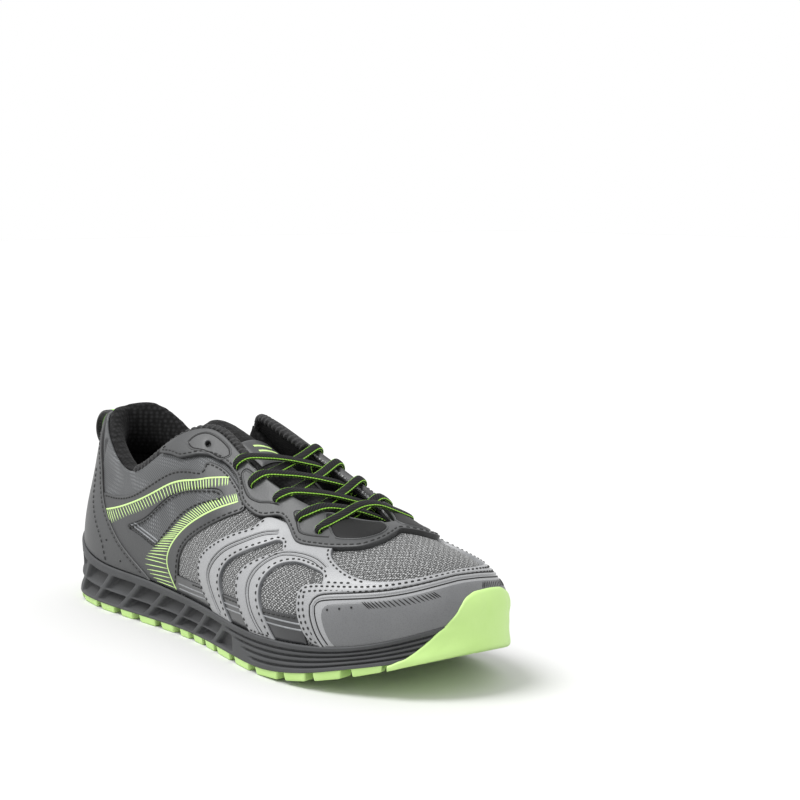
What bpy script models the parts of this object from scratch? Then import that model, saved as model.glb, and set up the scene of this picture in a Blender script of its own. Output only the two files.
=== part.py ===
"""Right running shoe with a knitted-mesh upper, layered overlays, lace, sockliner and lugged outsole.

Every length is in millimetres along the shoe (heel at x = 0, lateral side at -y) and is turned
into metres, with the sole resting on z = 0, when the objects are made.
"""
import bpy
import bmesh
import math
from mathutils import Vector
from mathutils.geometry import delaunay_2d_cdt

# ---------------------------------------------------------------- driving dimensions
MM = 0.001
STATIONS = 24                    # stations round the shoe: 0 heel, 1-11 lateral, 12 toe, 13-23 medial
STEP = 0.5                       # mesh column spacing, in stations
X_CENTRE = 144.78                # middle of the whole shoe along its length
Y_CENTRE = -4.76                 # middle of the whole shoe across its width
LAYER_GAP = 0.35                 # clearance between glued or sewn layers
INNER_GAP = 0.6                  # clearance between the curved layers inside the upper
SKIN = 1.6                       # thickness of the mesh and quarter skin
OVERLAY = 0.8                    # thickness of one synthetic overlay
LINING = 0.8                     # thickness of the lining cloth
PUFF = 0.8                       # thickness of the toe puff
COUNTER = 1.1                    # thickness of the heel counter
COLLAR_PAD = 7.0                 # depth of the collar padding
LUG_HEIGHT = 3.5
PLATE = 2.5                      # thickness of the rubber sheet that carries the lugs
PLATE_INSET = 4.0                # how far that sheet stays back from the edge of the lugs
BUMPER = 1.8                     # thickness of the rubber wrapped up over the toe
BOARD = 1.2                      # thickness of the strobel board
SOCKLINER = 4.0                  # thickness of the sockliner
TONGUE = 5.0                     # thickness of the padded tongue
TONGUE_HINGE_X = 124.0           # where the free top of the tongue starts to bend
LACE_RADIUS = 1.35
EYELET_RADIUS = 2.3
LOOP_WIDTH = 10.0
LOOP_THICKNESS = 1.4
TOE_SPRING_START = 205.0
TOE_SPRING = 22.0
HEEL_BEVEL_END = 22.0
HEEL_BEVEL = 9.0

# The upper is a sheet over these level lines, each with one point for every station.
LASTED_EDGE = [
    (7, 0, 27), (12, -16, 26), (29, -30, 23.5), (56, -35, 20.5), (90, -36, 19), (125, -37, 17),
    (158, -42, 16), (190, -49, 15), (218, -52, 14.5), (242, -49, 15), (263, -39, 17.5), (280, -24, 22.5),
    (288, -5, 27.5), (286, 15, 26.5), (273, 30, 21.5), (249, 40, 16), (222, 44, 15), (190, 41, 15),
    (158, 34, 16), (125, 30, 17.5), (90, 31, 19.5), (56, 33, 21.5), (29, 28, 24), (12, 15, 26)]
FEATHER_LINE = [
    (5, 0, 37), (10, -18, 35), (28, -32, 28), (55, -37, 23), (90, -38, 22), (125, -39, 20),
    (158, -44, 19), (190, -51, 18), (218, -54, 18), (243, -51, 19), (265, -41, 22), (282, -25, 28),
    (291, -5, 33), (289, 16, 32), (275, 32, 27.5), (250, 42, 20), (222, 46, 18), (190, 43, 18),
    (158, 36, 19), (125, 32, 21), (90, 33, 23), (55, 35, 25), (28, 30, 29), (10, 17, 35)]
QUARTER_LEVEL = [
    (3, 0, 51), (9, -15, 50), (27, -30, 46), (56, -37, 42), (90, -40, 41), (124, -42, 40),
    (156, -47, 37), (188, -53, 34), (217, -56, 33), (242, -52, 33), (264, -42, 35), (282, -26, 38),
    (291, -5, 42), (289, 16, 41), (275, 32, 38), (250, 42, 34), (220, 46, 33), (188, 44, 34),
    (156, 38, 37), (124, 35, 40), (90, 35, 42), (56, 35, 43), (27, 29, 47), (9, 15, 50)]
HALF_LEVEL = [
    (5, 0, 67), (11, -13, 66), (28, -26, 63), (57, -34, 57), (88, -38, 58), (120, -40, 62),
    (152, -44, 57), (184, -48, 51), (213, -48, 48), (238, -44, 48), (258, -36, 49), (274, -23, 51),
    (281, -5, 53), (279, 12, 53), (266, 26, 51), (243, 35, 49), (215, 38, 49), (184, 39, 53),
    (152, 37, 60), (120, 34, 64), (88, 34, 59), (57, 32, 58), (28, 26, 64), (11, 13, 66)]
UPPER_LEVEL = [
    (8, 0, 83), (13, -11, 82), (29, -23, 77), (58, -31, 68), (84, -35, 71), (113, -34, 82),
    (141, -34, 78), (171, -35, 68), (201, -33, 61), (224, -28, 60), (243, -21, 60), (255, -13, 60),
    (260, -3, 61), (257, 7, 61), (246, 17, 60), (228, 24, 60), (203, 28, 62), (171, 30, 70),
    (141, 29, 80), (113, 30, 83), (84, 31, 71), (58, 30, 68), (29, 23, 78), (13, 11, 82)]
TOPLINE = [
    (12, 0, 99), (17, -11, 98), (31, -21, 90), (56, -30, 77), (80, -32, 77), (104, -27, 93),
    (124, -17, 100), (150, -19, 91), (178, -21, 80), (204, -18, 71), (222, -11, 67), (231, -4, 66),
    (233, 1, 66), (230, 6, 66), (220, 11, 68), (203, 16, 73), (178, 18, 82), (150, 18, 92),
    (119, 18, 102), (102, 26, 93), (80, 29, 77), (56, 29, 79), (34, 23, 93), (19, 13, 100)]
LEVELS = [LASTED_EDGE, FEATHER_LINE, QUARTER_LEVEL, HALF_LEVEL, UPPER_LEVEL, TOPLINE]
LEVEL_SPACING = 0.25             # height parameter between two level lines; 0 is the feather line

# How far the foot of the midsole stands out from the feather line at each station.
SOLE_FLARE = [5, 4.5, 4, 4, 3, 2, 1.5, 1.5, 2.5, 3, 3, 4, 4.5, 4, 3, 3, 3, 2, 2, 2, 3, 4, 4, 4.5]
LIP_WIDTH = 3.0
LIP_CLEARANCE = 0.9

# Stations covered by each lug on the lateral edge; the medial edge mirrors them.
EDGE_LUGS = [
    (0.6, 1.2), (1.45, 2.0), (2.2, 2.7), (2.9, 3.35), (3.55, 3.95), (4.15, 4.55), (4.75, 5.1),
    (5.3, 5.75), (5.95, 6.5), (6.7, 7.4), (7.6, 8.5), (8.6, 9.4), (9.5, 10.3), (10.4, 11.3)]
EDGE_LUG_DEPTH = 13.0
CENTRE_LUG_XS = [34, 56, 78, 100, 122, 144, 166, 188, 210, 232, 254, 272]
CENTRE_LUG_SIZE = (13.0, 11.0)   # along and across the sole
CENTRE_LUG_OFFSET = 9.5          # from the middle line of the sole
CENTRE_LUG_SKEW = 4.0

# Eyelets as (station, height parameter), from the top row down to the toe.
LATERAL_EYELETS = [(5.94, 0.91), (6.84, 0.91), (7.27, 0.89), (7.92, 0.90), (8.43, 0.85), (8.89, 0.80)]
MEDIAL_EYELETS = [(24 - station, height) for station, height in LATERAL_EYELETS]

# ---------------------------------------------------------------- scene and materials
for old in list(bpy.data.objects):
    bpy.data.objects.remove(old, do_unlink=True)

shoe = bpy.data.collections.new("running_shoe")
cutters = bpy.data.collections.new("cutters")
bpy.context.scene.collection.children.link(shoe)
bpy.context.scene.collection.children.link(cutters)


def material(name, colour, roughness, metallic=0.0):
    made = bpy.data.materials.new(name)
    made.use_nodes = True
    shader = made.node_tree.nodes["Principled BSDF"]
    shader.inputs["Base Color"].default_value = (*colour, 1.0)
    shader.inputs["Roughness"].default_value = roughness
    shader.inputs["Metallic"].default_value = metallic
    return made


LIME_RUBBER = ((0.52, 0.86, 0.19), 0.55)
GREY_FOAM = ((0.075, 0.077, 0.08), 0.7)
GREY_MESH = ((0.30, 0.30, 0.30), 0.9)
DARK_SYNTHETIC = ((0.13, 0.13, 0.135), 0.55)
SILVER_SYNTHETIC = ((0.36, 0.37, 0.38), 0.5)
GLOSSY_RAND = ((0.10, 0.10, 0.105), 0.35)
BLACK_KNIT = ((0.02, 0.02, 0.021), 0.95)
STIFF_BOARD = ((0.55, 0.53, 0.48), 0.8)
BLACK_WEBBING = ((0.018, 0.018, 0.018), 0.85)


def to_world(point):
    return Vector(((point[0] - X_CENTRE) * MM, (point[1] - Y_CENTRE) * MM, point[2] * MM))


def new_object(name, mesh, look, collection=shoe):
    thing = bpy.data.objects.new(name, mesh)
    collection.objects.link(thing)
    if look:
        mesh.materials.append(material(name + "_material", *look))
    return thing


def mesh_object(name, points, faces, look, collection=shoe, pivot=(X_CENTRE, Y_CENTRE, 0.0)):
    """Closed body from millimetre points; its origin sits on the pivot."""
    origin = to_world(pivot)
    shape = bmesh.new()
    corners = [shape.verts.new(to_world(point) - origin) for point in points]
    for face in faces:
        shape.faces.new([corners[index] for index in face])
    bmesh.ops.triangulate(shape, faces=shape.faces)
    bmesh.ops.recalc_face_normals(shape, faces=shape.faces)
    mesh = bpy.data.meshes.new(name)
    shape.to_mesh(mesh)
    shape.free()
    thing = new_object(name, mesh, look, collection)
    thing.location = origin
    return thing


# ---------------------------------------------------------------- the sheet of the upper
def through(before, start, end, after, u):
    """Smooth curve from start to end that also leans towards its outer neighbours."""
    first = 2 * start
    second = (end - before) * u
    third = (2 * before - 5 * start + 4 * end - after) * u * u
    fourth = (3 * start - before - 3 * end + after) * u ** 3
    return 0.5 * (first + second + third + fourth)


def on_line(line, station):
    base = math.floor(station)
    around = [Vector(line[(base + step) % STATIONS]) for step in (-1, 0, 1, 2)]
    return through(*around, station - base)


def sheet_point(station, height):
    rows = [on_line(line, station) for line in LEVELS]
    place = (height + LEVEL_SPACING) / LEVEL_SPACING
    row = min(len(rows) - 2, max(0, math.floor(place)))
    before = rows[row - 1] if row > 0 else 2 * rows[0] - rows[1]
    after = rows[row + 2] if row + 2 < len(rows) else 2 * rows[-1] - rows[-2]
    return through(before, rows[row], rows[row + 1], after, place - row)


def outward(station, height):
    probe = 0.04
    along = sheet_point(station + probe, height) - sheet_point(station - probe, height)
    upward = sheet_point(station, height + probe) - sheet_point(station, height - probe)
    return along.cross(upward).normalized()


def off_sheet(station, height, distance):
    return sheet_point(station, height) + outward(station, height) * distance


def columns_between(first, last):
    """Mesh columns from first to last, on the shared station grid so that layers nest."""
    inner_lines = [index * STEP for index in range(math.ceil(first / STEP), math.floor(last / STEP) + 1)]
    kept = [line for line in inner_lines if line - first > 0.12 and last - line > 0.12]
    return [first] + kept + [last]


def ease(value, start, end):
    u = min(1.0, max(0.0, (value - start) / (end - start)))
    return u * u * (3 - 2 * u)


def between(table, station):
    """Straight-line reading of a table of (station, value) pairs."""
    if station <= table[0][0]:
        return table[0][1]
    for (left, low), (right, high) in zip(table, table[1:]):
        if station <= right:
            return low + (high - low) * (station - left) / (right - left)
    return table[-1][1]


def layered_solid(name, outer, inner, look, **options):
    """Body between two equal grids of points."""
    columns, rows = len(outer), len(outer[0])
    points = [point for column in outer for point in column]
    points += [point for column in inner for point in column]
    back = columns * rows

    def cell(column, row):
        return column * rows + row

    faces = []
    for column in range(columns - 1):
        for row in range(rows - 1):
            ring = [cell(column, row), cell(column + 1, row), cell(column + 1, row + 1), cell(column, row + 1)]
            faces.append(ring)
            faces.append([index + back for index in reversed(ring)])
    rim = [cell(column, 0) for column in range(columns)]
    rim += [cell(columns - 1, row) for row in range(1, rows)]
    rim += [cell(column, rows - 1) for column in range(columns - 2, -1, -1)]
    rim += [cell(0, row) for row in range(rows - 2, 0, -1)]
    for start, end in zip(rim, rim[1:] + rim[:1]):
        faces.append([start, end, end + back, start + back])
    return mesh_object(name, points, faces, look, **options)


def upper_layer(name, first, last, lower, upper, outer, inner, look, rows=8):
    """Piece of the upper from one station to another, between two edge lines and two offsets."""
    outer_grid, inner_grid = [], []
    for station in columns_between(first, last):
        low, high = between(lower, station), between(upper, station)
        heights = [low + (high - low) * row / rows for row in range(rows + 1)]
        outer_grid.append([off_sheet(station, height, outer(height)) for height in heights])
        inner_grid.append([off_sheet(station, height, inner(height)) for height in heights])
    return layered_solid(name, outer_grid, inner_grid, look)


def level(value):
    return lambda height: value


def flat(value):
    return [(0, value)]


def drill(thing, holes):
    cut = thing.modifiers.new("eyelet_holes", "BOOLEAN")
    cut.operation = "DIFFERENCE"
    cut.solver = "EXACT"
    cut.object = holes


# ---------------------------------------------------------------- sole
def ground(x):
    """Underside of the lugs: flat, bevelled behind the heel and sprung up at the toe."""
    toe = max(0.0, (x - TOE_SPRING_START) / 95.0)
    heel = max(0.0, (HEEL_BEVEL_END - x) / HEEL_BEVEL_END)
    return TOE_SPRING * toe ** 1.9 + HEEL_BEVEL * heel ** 1.8


def plate_underside(x):
    return ground(x) + LUG_HEIGHT * (1.0 - 0.6 * ease(x, 255, 292))


def plan_outward(station):
    ahead, behind = on_line(FEATHER_LINE, station + 0.1), on_line(FEATHER_LINE, station - 0.1)
    run = ahead - behind
    return Vector((run.y, -run.x, 0.0)).normalized()


def plan_point(station, outset, z=0.0):
    edge = on_line(FEATHER_LINE, station) + plan_outward(station) * outset
    return Vector((edge.x, edge.y, z))


def flare(station):
    wrapped = station % STATIONS
    left = math.floor(wrapped)
    share = wrapped - left
    return SOLE_FLARE[left] * (1 - share) + SOLE_FLARE[(left + 1) % STATIONS] * share


def toe_setback(station):
    """The midsole stands back under the rubber wrapped over the toe."""
    wrapped = station % STATIONS
    return 2.4 * ease(wrapped, 11.0, 11.8) * (1.0 - ease(wrapped, 13.8, 14.6))


def sidewall(station, share, outset=0.0):
    """Outer face of the midsole, from its foot (0) to its lip (1)."""
    foot = plan_point(station, flare(station) - toe_setback(station) + outset)
    foot.z = plate_underside(foot.x) + PLATE + LAYER_GAP
    lip = plan_point(station, LIP_WIDTH - toe_setback(station) * 0.25 + outset)
    lip.z = on_line(FEATHER_LINE, station).z
    place = foot.lerp(lip, share)
    waist = plan_outward(station) * math.sin(math.pi * share) * -0.8
    return place + waist


def ring(maker):
    return [maker(index * STEP) for index in range(int(STATIONS / STEP))]


def ringed_solid(name, rings, look, **options):
    """Body whose sides join successive rings and whose ends are bridged straight across."""
    count = len(rings[0])
    points = [point for one in rings for point in one]
    faces = []
    for layer in range(len(rings) - 1):
        for index in range(count):
            after = (index + 1) % count
            low, high = layer * count, (layer + 1) * count
            faces.append([low + index, low + after, high + after, high + index])
    for base in (0, (len(rings) - 1) * count):
        for index in range(count // 2):
            left, right = (count - index) % count, count - index - 1
            corners = [base + index, base + index + 1, base + right, base + left]
            unique = list(dict.fromkeys(corners))
            if len(unique) > 2:
                faces.append(unique)
    return mesh_object(name, points, faces, look, **options)


def bed_point(station, inset, lift):
    edge = on_line(LASTED_EDGE, station) - plan_outward(station) * inset
    return Vector((edge.x, edge.y, edge.z + lift))


midsole = ringed_solid("midsole", [
    ring(lambda s: sidewall(s, 0.0)),
    ring(lambda s: sidewall(s, 0.35)),
    ring(lambda s: sidewall(s, 0.7)),
    ring(lambda s: sidewall(s, 1.0)),
    ring(lambda s: off_sheet(s, 0.0, LIP_CLEARANCE)),
    ring(lambda s: bed_point(s, -LIP_CLEARANCE, -1.2)),
], GREY_FOAM)

WINDOW_ROWS = [(0.52, 0.84), (0.12, 0.44)]      # share of the sidewall height
WINDOW_STATIONS = [1.35, 1.95, 2.55, 3.1, 3.6, 4.1, 4.6, 5.1]
WINDOW_WIDTH = 0.36
WINDOW_SLANT = 0.12
WINDOW_DEPTH = 3.0


def window_block(start, low, high):
    corners = [(start, low), (start + WINDOW_WIDTH, low),
               (start + WINDOW_WIDTH + WINDOW_SLANT, high), (start + WINDOW_SLANT, high)]
    near = [sidewall(station, share, 2.0) for station, share in corners]
    far = [sidewall(station, share, -WINDOW_DEPTH) for station, share in corners]
    return near + far


def blocks(name, corner_sets, collection):
    """Several six-sided blocks in one object."""
    points, faces = [], []
    for corners in corner_sets:
        base = len(points)
        points += corners
        faces += [[base, base + 1, base + 2, base + 3], [base + 7, base + 6, base + 5, base + 4]]
        for index in range(4):
            after = (index + 1) % 4
            faces.append([base + index, base + after, base + after + 4, base + index + 4])
    thing = mesh_object(name, points, faces, None, collection)
    thing.hide_render = True
    thing.display_type = "WIRE"
    return thing


window_cutter = blocks("window_cutter", [
    window_block(start, low, high) for low, high in WINDOW_ROWS for start in WINDOW_STATIONS], cutters)
window_cut = midsole.modifiers.new("sidewall_windows", "BOOLEAN")
window_cut.operation = "DIFFERENCE"
window_cut.solver = "EXACT"
window_cut.object = window_cutter


def plate_point(station, top):
    place = plan_point(station, flare(station) - PLATE_INSET - toe_setback(station) * 0.3)
    place.z = plate_underside(place.x) + (PLATE if top else 0.0)
    return place


outsole = ringed_solid("outsole", [
    ring(lambda s: plate_point(s, False)), ring(lambda s: plate_point(s, True))], LIME_RUBBER)


def lug_corners(plan):
    """Block from the ground up into the middle of the rubber sheet, over a four-cornered plan."""
    low = [Vector((x, y, ground(x))) for x, y in plan]
    high = [Vector((x, y, plate_underside(x) + PLATE * 0.6)) for x, y in plan]
    return low + high


def edge_lug(first, last):
    corners = [plan_point(first, flare(first)), plan_point(last, flare(last)),
               plan_point(last, flare(last) - EDGE_LUG_DEPTH), plan_point(first, flare(first) - EDGE_LUG_DEPTH)]
    return lug_corners([(corner.x, corner.y) for corner in corners])


def middle_of_sole(x):
    return -5.0 * ease(x, 120, 220) + 1.0 * ease(x, 240, 280)


def centre_lug(x, side):
    length, width = CENTRE_LUG_SIZE
    near = middle_of_sole(x) + side * (CENTRE_LUG_OFFSET - width / 2)
    far = middle_of_sole(x) + side * (CENTRE_LUG_OFFSET + width / 2)
    return lug_corners([(x, near), (x + length, near),
                        (x + length - CENTRE_LUG_SKEW, far), (x - CENTRE_LUG_SKEW, far)])


lug_sets = [edge_lug(first, last) for first, last in EDGE_LUGS]
lug_sets += [edge_lug(STATIONS - last, STATIONS - first) for first, last in EDGE_LUGS]
lug_sets += [edge_lug(11.5, 12.5)]
lug_sets += [centre_lug(x, side) for x in CENTRE_LUG_XS for side in (-1, 1)]
lugs = blocks("lug_blocks", lug_sets, cutters)

BUMPER_CLEARANCE = 0.9
CAP_FACE = 2.5                   # how far the toe cap stands off the skin
BUMPER_FIRST, BUMPER_LAST = 11.65, 13.75
BUMPER_COLUMNS = 14
BUMPER_TOP = [(11.65, 0.16), (11.95, 0.30), (12.3, 0.36), (13.1, 0.36), (13.5, 0.30), (13.75, 0.16)]


def bumper_profile(station, distance):
    """From inside the rubber sheet, out under the midsole, up its front and over the toe cap."""
    root = plan_point(station, flare(station) - PLATE_INSET - 4.0)
    low = sidewall(station, 0.0, BUMPER_CLEARANCE + distance)
    for point in (root, low):
        point.z = plate_underside(point.x) + PLATE * (0.25 if distance else 0.75)
    side = [sidewall(station, share, BUMPER_CLEARANCE + distance) for share in (0.35, 0.75, 1.0)]
    top = between(BUMPER_TOP, station)
    over = [off_sheet(station, 0.10 + (top - 0.10) * share, CAP_FACE + BUMPER_CLEARANCE + distance)
            for share in (0.5, 1.0)]
    return [root, low] + side + over


wrap_columns = [BUMPER_FIRST + (BUMPER_LAST - BUMPER_FIRST) * index / BUMPER_COLUMNS
                for index in range(BUMPER_COLUMNS + 1)]
wrap = layered_solid("toe_wrap",
                     [bumper_profile(station, BUMPER) for station in wrap_columns],
                     [bumper_profile(station, 0.0) for station in wrap_columns], None, collection=cutters)
wrap.hide_render = True
wrap.display_type = "WIRE"

for name, tool in (("lugs", lugs), ("toe_wrap", wrap)):
    joined = outsole.modifiers.new(name, "BOOLEAN")
    joined.operation = "UNION"
    joined.solver = "EXACT"
    joined.use_self = True
    joined.object = tool


strobel_board = ringed_solid("strobel_board", [
    ring(lambda s: bed_point(s, 2.6, 0.2)), ring(lambda s: bed_point(s, 2.6, 0.2 + BOARD))], STIFF_BOARD)

SOCKLINER_INSET = 5.6
SOCKLINER_LIFT = 2.0
SOCKLINER_HINGE = (276.0, 4.0, 24.0)


def sockliner_point(station, lift):
    heel = 2.5 * (1.0 - ease(min(station, STATIONS - station), 0.5, 2.5))
    return bed_point(station, SOCKLINER_INSET + heel, SOCKLINER_LIFT + lift)


sockliner = ringed_solid("sockliner", [
    ring(lambda s: sockliner_point(s, 0.0)), ring(lambda s: sockliner_point(s, SOCKLINER))],
    BLACK_KNIT, pivot=SOCKLINER_HINGE)

# ---------------------------------------------------------------- skin, stiffeners and lining of the upper
eyelet_holes = bpy.data.meshes.new("eyelet_holes")
holes = bmesh.new()
for station, height in LATERAL_EYELETS + MEDIAL_EYELETS:
    middle = to_world(sheet_point(station, height))
    turn = outward(station, height).to_track_quat("Z", "Y").to_matrix().to_4x4()
    turn.translation = middle
    bmesh.ops.create_cone(holes, cap_ends=True, segments=14, radius1=EYELET_RADIUS * MM,
                          radius2=EYELET_RADIUS * MM, depth=16 * MM, matrix=turn)
holes.to_mesh(eyelet_holes)
holes.free()
eyelet_cutter = new_object("eyelet_cutter", eyelet_holes, None, cutters)
eyelet_cutter.hide_render = True
eyelet_cutter.display_type = "WIRE"

SKIN_FOOT = -0.2
forefoot_mesh = upper_layer("forefoot_mesh", 5.04, 18.96, flat(SKIN_FOOT), flat(0.985),
                            level(0.0), level(-SKIN), GREY_MESH, rows=9)
quarter_lateral = upper_layer("quarter_lateral", 0.03, 4.96, flat(SKIN_FOOT), flat(0.985),
                              level(0.0), level(-SKIN), DARK_SYNTHETIC, rows=9)
quarter_medial = upper_layer("quarter_medial", 19.04, 23.97, flat(SKIN_FOOT), flat(0.985),
                             level(0.0), level(-SKIN), DARK_SYNTHETIC, rows=9)

stiffener_face = -SKIN - INNER_GAP
toe_puff = upper_layer("toe_puff", 9.3, 14.7, flat(-0.04), flat(0.5),
                       level(stiffener_face), level(stiffener_face - PUFF), STIFF_BOARD, rows=6)
heel_counter = upper_layer("heel_counter", -3.3, 3.3, flat(-0.04), flat(0.56),
                           level(stiffener_face), level(stiffener_face - COUNTER), STIFF_BOARD, rows=6)
lining_face = stiffener_face - COUNTER - INNER_GAP
vamp_lining = upper_layer("vamp_lining", 5.36, 18.64, flat(-0.04), flat(0.975),
                          level(lining_face), level(lining_face - LINING), BLACK_KNIT, rows=9)
quarter_lining = upper_layer("quarter_lining", -5.2, 5.2, flat(-0.04), flat(0.57),
                             level(lining_face), level(lining_face - LINING), BLACK_KNIT, rows=6)


def padding_face(height):
    """The collar padding swells from its lower seam and narrows again under the topline."""
    swell = ease(height, 0.6, 0.78) * (1.0 - 0.45 * ease(height, 0.9, 1.0))
    return stiffener_face - 2.6 - (COLLAR_PAD - 1.5) * swell


collar_padding = upper_layer("collar_padding", -5.2, 5.2, flat(0.6), flat(0.985),
                             level(stiffener_face), padding_face, BLACK_KNIT, rows=7)

# ---------------------------------------------------------------- overlays
LAYER_ONE = (LAYER_GAP + 0.2, LAYER_GAP + 0.2 + OVERLAY)
LAYER_TWO = (LAYER_ONE[1] + LAYER_GAP, LAYER_ONE[1] + LAYER_GAP + OVERLAY)
LAYER_THREE = (LAYER_TWO[1] + LAYER_GAP, LAYER_TWO[1] + LAYER_GAP + OVERLAY)
HEIGHT_SCALE = 2.4               # one unit of height parameter is about this many stations wide
PANEL_GRID = 0.3                 # spacing of points inside a panel, in stations


def inside(outline, point):
    crossings = 0
    for (x0, y0), (x1, y1) in zip(outline, outline[1:] + outline[:1]):
        if (y0 > point[1]) != (y1 > point[1]):
            crossings += point[0] < x0 + (point[1] - y0) * (x1 - x0) / (y1 - y0)
    return crossings % 2 == 1


def refined(outline, spacing):
    points = []
    for (x0, y0), (x1, y1) in zip(outline, outline[1:] + outline[:1]):
        pieces = max(1, round(math.hypot(x1 - x0, (y1 - y0) * HEIGHT_SCALE) / spacing))
        points += [(x0 + (x1 - x0) * k / pieces, y0 + (y1 - y0) * k / pieces) for k in range(pieces)]
    return points


def outlined_layer(name, outline, layer, look):
    """Overlay cut to an outline given as (station, height) corners."""
    edge = refined(outline, PANEL_GRID)
    stations = [point[0] for point in edge]
    heights = [point[1] for point in edge]
    fill = []
    station = math.floor(min(stations))
    while station < max(stations):
        height = math.floor(min(heights) * 8) / 8
        while height < max(heights):
            near = min(math.hypot(station - x, (height - y) * HEIGHT_SCALE) for x, y in edge)
            if inside(outline, (station, height)) and near > PANEL_GRID * 0.45:
                fill.append((station, height))
            height += PANEL_GRID / HEIGHT_SCALE
        station += PANEL_GRID
    flat_points = [Vector((x, y * HEIGHT_SCALE)) for x, y in edge + fill]
    loop = list(range(len(edge)))
    found = delaunay_2d_cdt(flat_points, [], [loop], 1, 1e-6)
    places = [(point.x, point.y / HEIGHT_SCALE) for point in found[0]]
    outer = [off_sheet(x, y, layer[1]) for x, y in places]
    inner = [off_sheet(x, y, layer[0]) for x, y in places]
    back = len(places)
    faces = [list(face) for face in found[2]]
    faces += [[index + back for index in reversed(face)] for face in found[2]]
    rim = [index for index, sources in enumerate(found[3]) if any(source < len(edge) for source in sources)]
    order = sorted(rim, key=lambda index: min(found[3][index]))
    for start, end in zip(order, order[1:] + order[:1]):
        faces.append([start, end, end + back, start + back])
    return mesh_object(name, outer + inner, faces, look)


def mirrored(outline):
    return [(STATIONS - station, height) for station, height in reversed(outline)]


QUARTER_OVERLAY = [
    (2.7, 0.03), (4.85, 0.03), (4.7, 0.12), (4.8, 0.24), (5.2, 0.36), (6.0, 0.57), (6.85, 0.76),
    (6.8, 0.83), (5.7, 0.83), (5.1, 0.78), (4.6, 0.9), (3.4, 0.93), (2.5, 0.9)]
quarter_overlay_lateral = outlined_layer("quarter_overlay_lateral", QUARTER_OVERLAY, LAYER_ONE, DARK_SYNTHETIC)
quarter_overlay_medial = outlined_layer("quarter_overlay_medial", mirrored(QUARTER_OVERLAY), LAYER_ONE,
                                        DARK_SYNTHETIC)

RAND = [(5.0, 0.03), (8.9, 0.03), (8.8, 0.26), (8.0, 0.25), (7.0, 0.22), (5.9, 0.17), (5.1, 0.14)]
rand_lateral = outlined_layer("rand_lateral", RAND, LAYER_ONE, GLOSSY_RAND)
rand_medial = outlined_layer("rand_medial", mirrored(RAND), LAYER_ONE, GLOSSY_RAND)

SIDE_OVERLAY = [
    (6.25, 0.03), (6.75, 0.03), (6.58, 0.16), (6.55, 0.3), (6.75, 0.43), (7.4, 0.6), (7.8, 0.685),
    (8.0, 0.67), (7.95, 0.62), (7.6, 0.54), (7.2, 0.41), (7.12, 0.28), (7.4, 0.03), (8.05, 0.03),
    (7.82, 0.2), (7.72, 0.34), (7.8, 0.45), (8.05, 0.55), (8.4, 0.6), (8.83, 0.57), (9.2, 0.51),
    (9.6, 0.54), (9.2, 0.67), (8.4, 0.7), (8.1, 0.79), (7.9, 0.79), (7.5, 0.7), (7.0, 0.58),
    (6.5, 0.45), (6.1, 0.33), (6.0, 0.2)]
side_overlay_lateral = outlined_layer("side_overlay_lateral", SIDE_OVERLAY, LAYER_TWO, SILVER_SYNTHETIC)
side_overlay_medial = outlined_layer("side_overlay_medial", mirrored(SIDE_OVERLAY), LAYER_TWO,
                                     SILVER_SYNTHETIC)

TOE_CAP_SIDE = [
    (9.25, 0.03), (9.0, 0.1), (8.85, 0.22), (8.78, 0.35), (8.85, 0.43), (9.3, 0.46), (10.3, 0.475), (11.3, 0.49)]
toe_cap = outlined_layer("toe_cap", TOE_CAP_SIDE + [(12.0, 0.5)] + mirrored(TOE_CAP_SIDE), LAYER_TWO,
                         SILVER_SYNTHETIC)

HEEL_OVERLAY_SIDE = [(-0.0, 0.94), (-1.3, 0.93), (-2.0, 0.8), (-2.35, 0.62), (-2.8, 0.4), (-3.3, 0.22),
                     (-3.9, 0.08), (-3.9, 0.03)]
heel_outline = HEEL_OVERLAY_SIDE + [(-station, height) for station, height in reversed(HEEL_OVERLAY_SIDE[1:])]
heel_overlay = outlined_layer("heel_overlay", heel_outline, LAYER_TWO, DARK_SYNTHETIC)

EYESTAY_SIDE = [
    (4.75, 0.975), (4.75, 0.91), (5.16, 0.8), (5.7, 0.84), (6.13, 0.86), (6.6, 0.87), (6.9, 0.855),
    (6.95, 0.79), (7.2, 0.765), (7.5, 0.78), (8.0, 0.83), (8.15, 0.78), (8.35, 0.71), (9.1, 0.715),
    (9.75, 0.73), (10.5, 0.81)]
THROAT_EDGE = [(19.25 - 0.25 * index, 0.975) for index in range(1, 58)]
eyestay = outlined_layer("eyestay", EYESTAY_SIDE + [(12.0, 0.88)] + mirrored(EYESTAY_SIDE) + THROAT_EDGE,
                         LAYER_THREE, DARK_SYNTHETIC)
for layer in (forefoot_mesh, vamp_lining, eyestay):
    drill(layer, eyelet_cutter)


def tube(name, points, radius, look, resolution=3, pivot=(X_CENTRE, Y_CENTRE, 0.0)):
    path = bpy.data.curves.new(name, "CURVE")
    path.dimensions = "3D"
    path.bevel_depth = radius * MM
    path.bevel_resolution = resolution
    path.use_fill_caps = True
    origin = to_world(pivot)
    line = path.splines.new("POLY")
    line.points.add(len(points) - 1)
    for slot, point in zip(line.points, points):
        slot.co = (*(to_world(point) - origin), 1.0)
    thing = new_object(name, path, look)
    thing.location = origin
    return thing


BINDING_RADIUS = 1.4
BINDING_CLEARANCE = 1.9


def above_topline(station):
    edge = off_sheet(station, 0.985, -SKIN / 2)
    rise = (sheet_point(station, 0.985) - sheet_point(station, 0.9)).normalized()
    return edge + rise * (BINDING_RADIUS + BINDING_CLEARANCE)


topline_binding = tube("topline_binding",
                       [above_topline(-6.9 + 0.3 * index) for index in range(47)],
                       BINDING_RADIUS, BLACK_KNIT, 2)

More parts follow.
